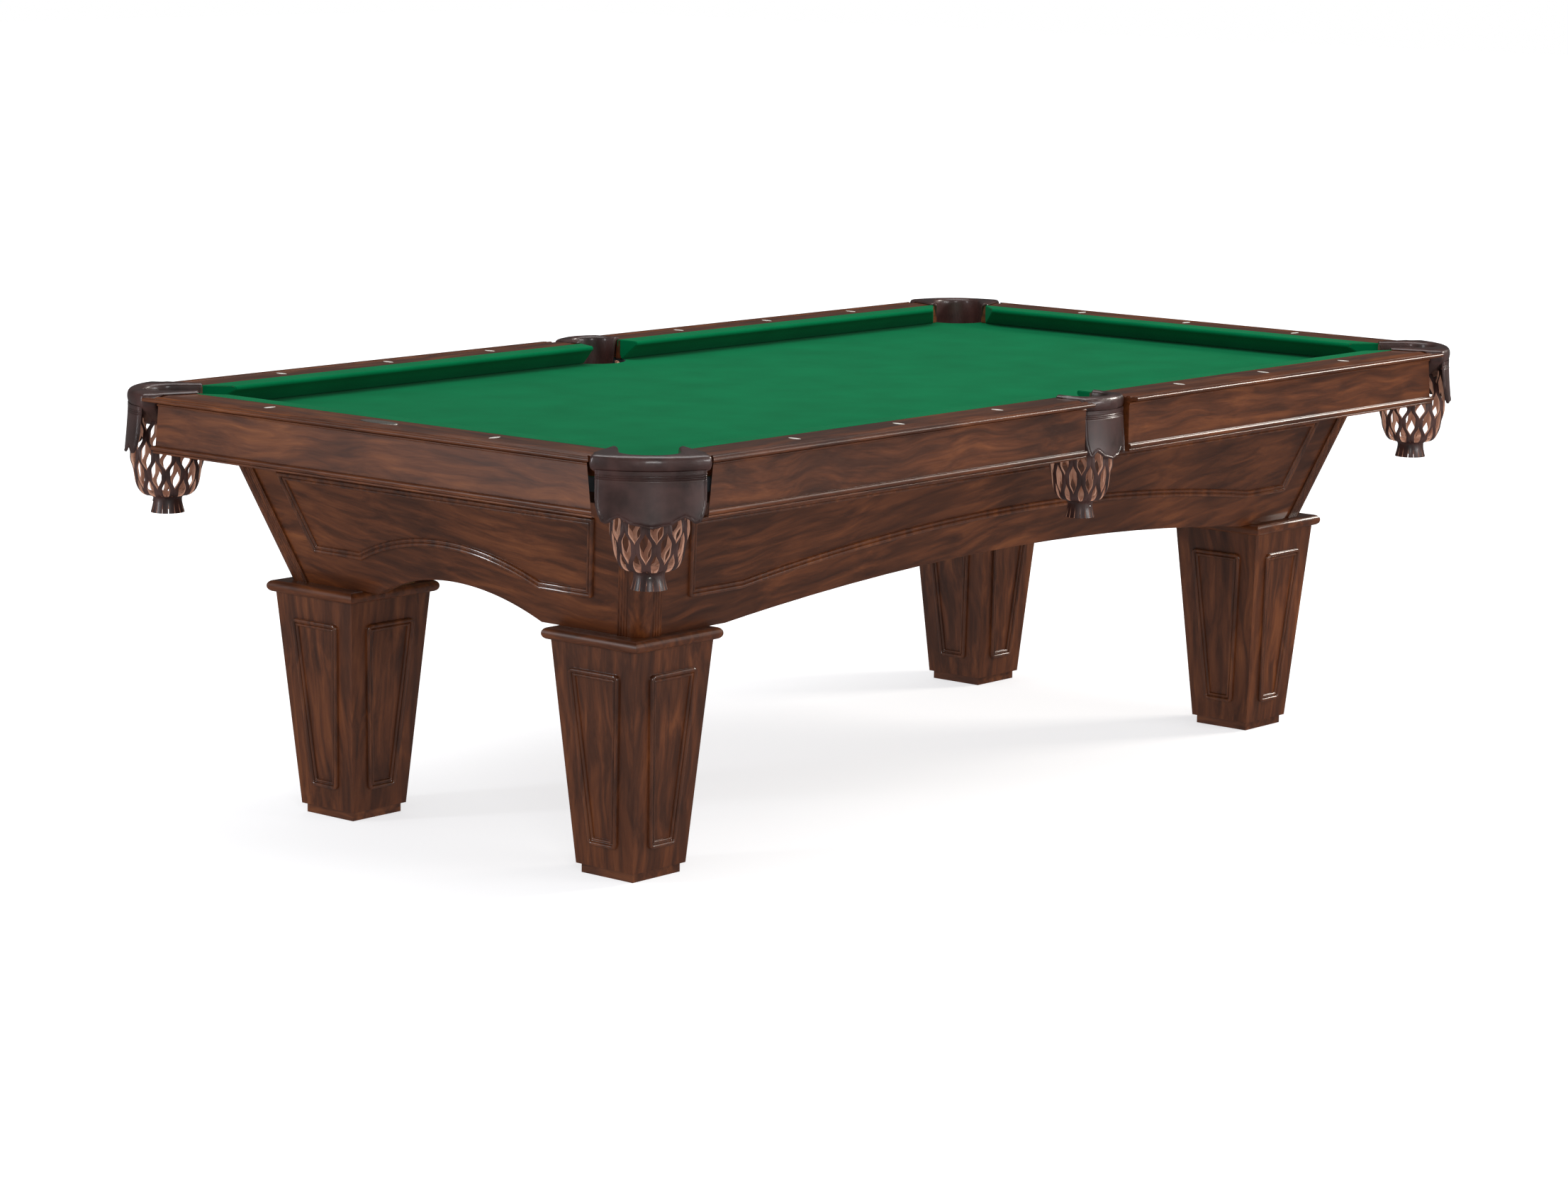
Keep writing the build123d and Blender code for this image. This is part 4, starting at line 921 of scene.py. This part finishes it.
def stitch_paths(c):
    """The two rows of stitching on a shield, as open lines of points on its face, in mm."""
    half = c["shield"]
    border = []
    for i in range(241):
        share = math.sin(math.pi / 2 * (2 * i / 240 - 1))
        x = share * (half - 2.6)
        low = shield_edge(c, share)
        slope = (shield_edge(c, min(share + 0.01, 1)) - shield_edge(c, max(share - 0.01, -1))) / (0.02 * half)
        z = min(low + 2.6 * math.hypot(1, min(abs(slope), 1.2)), COLLAR_LOW - 14)
        border.append((x, z))
    across = [(half * (-0.97 + 1.94 * i / 100), COLLAR_LOW - 14.2) for i in range(101)]
    return [border, across]


for index, (pocket, where, corner) in enumerate(POCKETS):
    c = COLLARS[corner]
    flap = placed(f"shield_{pocket}", shield_mesh(c), where, HIDE)
    if index == 0:
        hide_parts("pocket_shields")
    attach(flap, "table")
    mesh = bmesh.new()
    for path in stitch_paths(c):
        line = [mesh.verts.new(on_shield(c, x, z)) for x, z in path]
        for a, b in zip(line, line[1:]):
            mesh.edges.new((a, b))
    stitching = placed(f"stitching_{pocket}", mesh, where, THREAD_FINISH)
    grown(stitching, STITCHES, {"Pitch": 2.4 * MM, "Length": 1.7 * MM, "Thick": 0.6 * MM,
                                "Thread": THREAD_FINISH})
    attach(stitching, "table")

# ---------------------------------------------------------------- drop nets
# Each net is cut from one round of thick hide, slit and pulled open so that the straps between the
# slits bow apart and meet by turns; below them a riveted neck and a slit skirt. Dyed outside only.
NET_PROFILE = [(62.0, 745.0), (63.0, 722.0), (66.0, 700.0), (67.5, 680.0), (67.0, 662.0), (63.5, 645.0),
               (60.0, 630.0), (56.5, 615.0), (52.0, 603.0), (45.0, 596.5), (34.0, 594.0), (27.5, 591.5),
               (26.0, 587.0)]
PAIRS = 11
STRAP_WIDE = 8.0
WAVE = 36.5              # down the net from where straps meet to where they are furthest apart
STRAP_STEPS = 74
SKIRT_TABS = 16
SKIRT = [(26.3, 596.0), (26.4, 590.0), (26.2, 584.0), (27.0, 578.0), (28.8, 570.0), (31.0, 562.0)]


def along_profile(profile, distance):
    """Point, and the direction down, at a distance along a profile of (radius, height)."""
    for a, b in zip(profile, profile[1:]):
        step = math.dist(a, b)
        if distance <= step or b is profile[-1]:
            share = min(distance / step, 1.0)
            return Vector(a).lerp(Vector(b), share), (Vector(b) - Vector(a)).normalized()
        distance -= step


def rounded_profile(profile, rounds=2):
    """Corner cutting, to make a smooth profile from a few points."""
    for _ in range(rounds):
        cut = [profile[0]]
        for a, b in zip(profile, profile[1:]):
            cut += [(0.75 * a[0] + 0.25 * b[0], 0.75 * a[1] + 0.25 * b[1]),
                    (0.25 * a[0] + 0.75 * b[0], 0.25 * a[1] + 0.75 * b[1])]
        profile = cut + [profile[-1]]
    return profile


STRAP_SECTION = [(-0.52, -0.35), (-0.43, 0.0), (0.0, 0.1), (0.43, 0.0), (0.52, -0.35), (0.52, -3.3), (0.46, -3.9),
                 (-0.46, -3.9), (-0.52, -3.3)]     # across in strap widths, in or out in mm
CUT_SIDES = {4, 5, 6, 7, 8}                        # the section's sides that show undyed hide


def strap_pair(scale):
    """Two neighbouring straps of a net, which bow towards each other and apart."""
    profile = rounded_profile([(r * scale, z) for r, z in NET_PROFILE])
    length = sum(math.dist(a, b) for a, b in zip(profile, profile[1:]))
    mesh = bmesh.new()
    cut = mesh.faces.layers.bool.new("cut_side")
    for parity in (0, 1):
        rings = []
        for k in range(STRAP_STEPS + 1):
            distance = length * k / STRAP_STEPS
            (radius, z), down = along_profile(profile, distance)
            pitch = 2 * math.pi * radius / (2 * PAIRS)
            swing = math.cos(math.pi * distance / WAVE)
            swing = max(-1.0, min(1.0, swing * (1.62 - 0.50 * swing * swing)))
            wide = min(STRAP_WIDE, pitch * 1.02)
            off = (pitch - wide) / 2 * swing * (1 if parity == 0 else -1)
            lean = -math.sin(math.pi * distance / WAVE) * (1 if parity == 0 else -1) * 0.30
            lean *= min(1.0, max(0.0, (pitch - wide) / 4))
            middle = (2 * math.pi / (2 * PAIRS)) * (parity + 0.5) + off / radius
            out = Vector((-down.y, down.x))
            if out.x < 0:
                out = -out
            ring = []
            for across, depth in STRAP_SECTION:
                u = across * wide
                d = depth
                u, d = u * math.cos(lean) - d * math.sin(lean), u * math.sin(lean) + d * math.cos(lean)
                angle = middle + u / radius
                r = radius + out.x * d
                ring.append(mesh.verts.new((r * math.cos(angle), r * math.sin(angle), z + out.y * d)))
            rings.append(ring)
        count = len(STRAP_SECTION)
        for a, b in zip(rings, rings[1:]):
            for i in range(count):
                j = (i + 1) % count
                made = mesh.faces.new((a[i], a[j], b[j], b[i]))
                made[cut] = i in CUT_SIDES
        for ring in (rings[0], rings[-1]):
            mesh.faces.new(ring)[cut] = True
    bmesh.ops.recalc_face_normals(mesh, faces=mesh.faces)
    return mesh


def skirt_tab(scale):
    """One tab of the slit skirt, with its share of the neck above it."""
    profile = rounded_profile([(r * scale, z) for r, z in SKIRT])
    mesh = bmesh.new()
    cut = mesh.faces.layers.bool.new("cut_side")
    columns = 4
    layers = []
    for thick in (0.0, 3.2):
        rows = []
        for r, z in profile:
            gap = 1.5 * smooth(584, 568, z) if z < 584 else 0.0
            half = math.pi / SKIRT_TABS - gap / 2 / r
            rows.append([mesh.verts.new(((r - thick) * math.cos(half * (2 * i / columns - 1)),
                                         (r - thick) * math.sin(half * (2 * i / columns - 1)), z))
                         for i in range(columns + 1)])
        layers.append(rows)
    outer, inner = layers
    for j in range(len(profile) - 1):
        for i in range(columns):
            mesh.faces.new((outer[j][i], outer[j][i + 1], outer[j + 1][i + 1], outer[j + 1][i]))
            mesh.faces.new((inner[j][i], inner[j][i + 1], inner[j + 1][i + 1], inner[j + 1][i]))[cut] = True
        for i in (0, columns):
            mesh.faces.new((outer[j][i], outer[j + 1][i], inner[j + 1][i], inner[j][i]))[cut] = True
    for j in (0, len(profile) - 1):
        for i in range(columns):
            mesh.faces.new((outer[j][i], outer[j][i + 1], inner[j][i + 1], inner[j][i]))[cut] = True
    bmesh.ops.recalc_face_normals(mesh, faces=mesh.faces)
    return mesh


def round_tree():
    """A piece repeated round the upright axis: hide on the dyed side, raw hide where it is cut."""
    tree, given = node_group("repeated_round", {"Count": "Int", "Dyed": "Material", "Cut": "Material"})
    spots = add(tree, "GeometryNodePoints", {"Count": given["Count"]})
    index = add(tree, "GeometryNodeInputIndex")
    step = add(tree, "ShaderNodeMath", {0: 2 * math.pi, 1: given["Count"]}, operation="DIVIDE")
    angle = add(tree, "ShaderNodeMath", {0: index.outputs[0], 1: step.outputs[0]}, operation="MULTIPLY")
    turn = add(tree, "ShaderNodeCombineXYZ", {"Z": angle.outputs[0]})
    copies = add(tree, "GeometryNodeInstanceOnPoints",
                 {"Points": spots.outputs[0], "Instance": given["Geometry"], "Rotation": turn.outputs[0]})
    real = add(tree, "GeometryNodeRealizeInstances", {"Geometry": copies.outputs[0]})
    dyed = add(tree, "GeometryNodeSetMaterial", {"Geometry": real.outputs[0], "Material": given["Dyed"]})
    cut = add(tree, "GeometryNodeInputNamedAttribute", {"Name": "cut_side"}, data_type="BOOLEAN")
    raw = add(tree, "GeometryNodeSetMaterial", {"Geometry": dyed.outputs[0], "Selection": cut.outputs[0],
                                                "Material": given["Cut"]})
    add(tree, "NodeGroupOutput", {"Geometry": raw.outputs[0]})
    return tree


ROUND = round_tree()


def repeated(name, mesh, count):
    data = bpy.data.meshes.new(name)
    mesh.to_mesh(data)
    mesh.free()
    piece = bpy.data.objects.new(name, data)
    bpy.context.scene.collection.objects.link(piece)
    return grown(piece, ROUND, {"Count": count, "Dyed": STRAP, "Cut": RAW})


RIVET_STEEL = plain_finish("nickel_rivet", "#D8D6D0", "#B9B6AE", 600.0, 0.22, metallic=1.0, bump_high=0.0)
for index, (pocket, where, corner) in enumerate(POCKETS):
    c = COLLARS[corner]
    spin = Matrix.Rotation(0.31 * index, 4, "Z")
    parts = [repeated(f"straps_{pocket}", strap_pair(c["net"]), PAIRS),
             repeated(f"skirt_{pocket}", skirt_tab(c["net"]), SKIRT_TABS)]
    net = joined(f"net_{pocket}", parts)
    net.data.transform(where @ Matrix.Translation((0, c["net_out"] * MM, 0)) @ spin @ Matrix.Scale(MM, 4))
    net.data.shade_smooth()
    net.data.set_sharp_from_angle(angle=math.radians(50))
    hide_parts(f"pocket_net_{pocket}")
    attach(net, "table")
    mesh = bmesh.new()
    bmesh.ops.create_uvsphere(mesh, u_segments=16, v_segments=8, radius=2.6)
    for vert in mesh.verts:
        vert.co.y = vert.co.y * 0.5 + c["net_out"] + 26.4 * c["net"]
        vert.co.z += 583.5
    rivet = placed(f"rivet_{pocket}", mesh, where, RIVET_STEEL)
    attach(rivet, "table")

# ---------------------------------------------------------------- last update of the scene
bpy.context.view_layer.update()
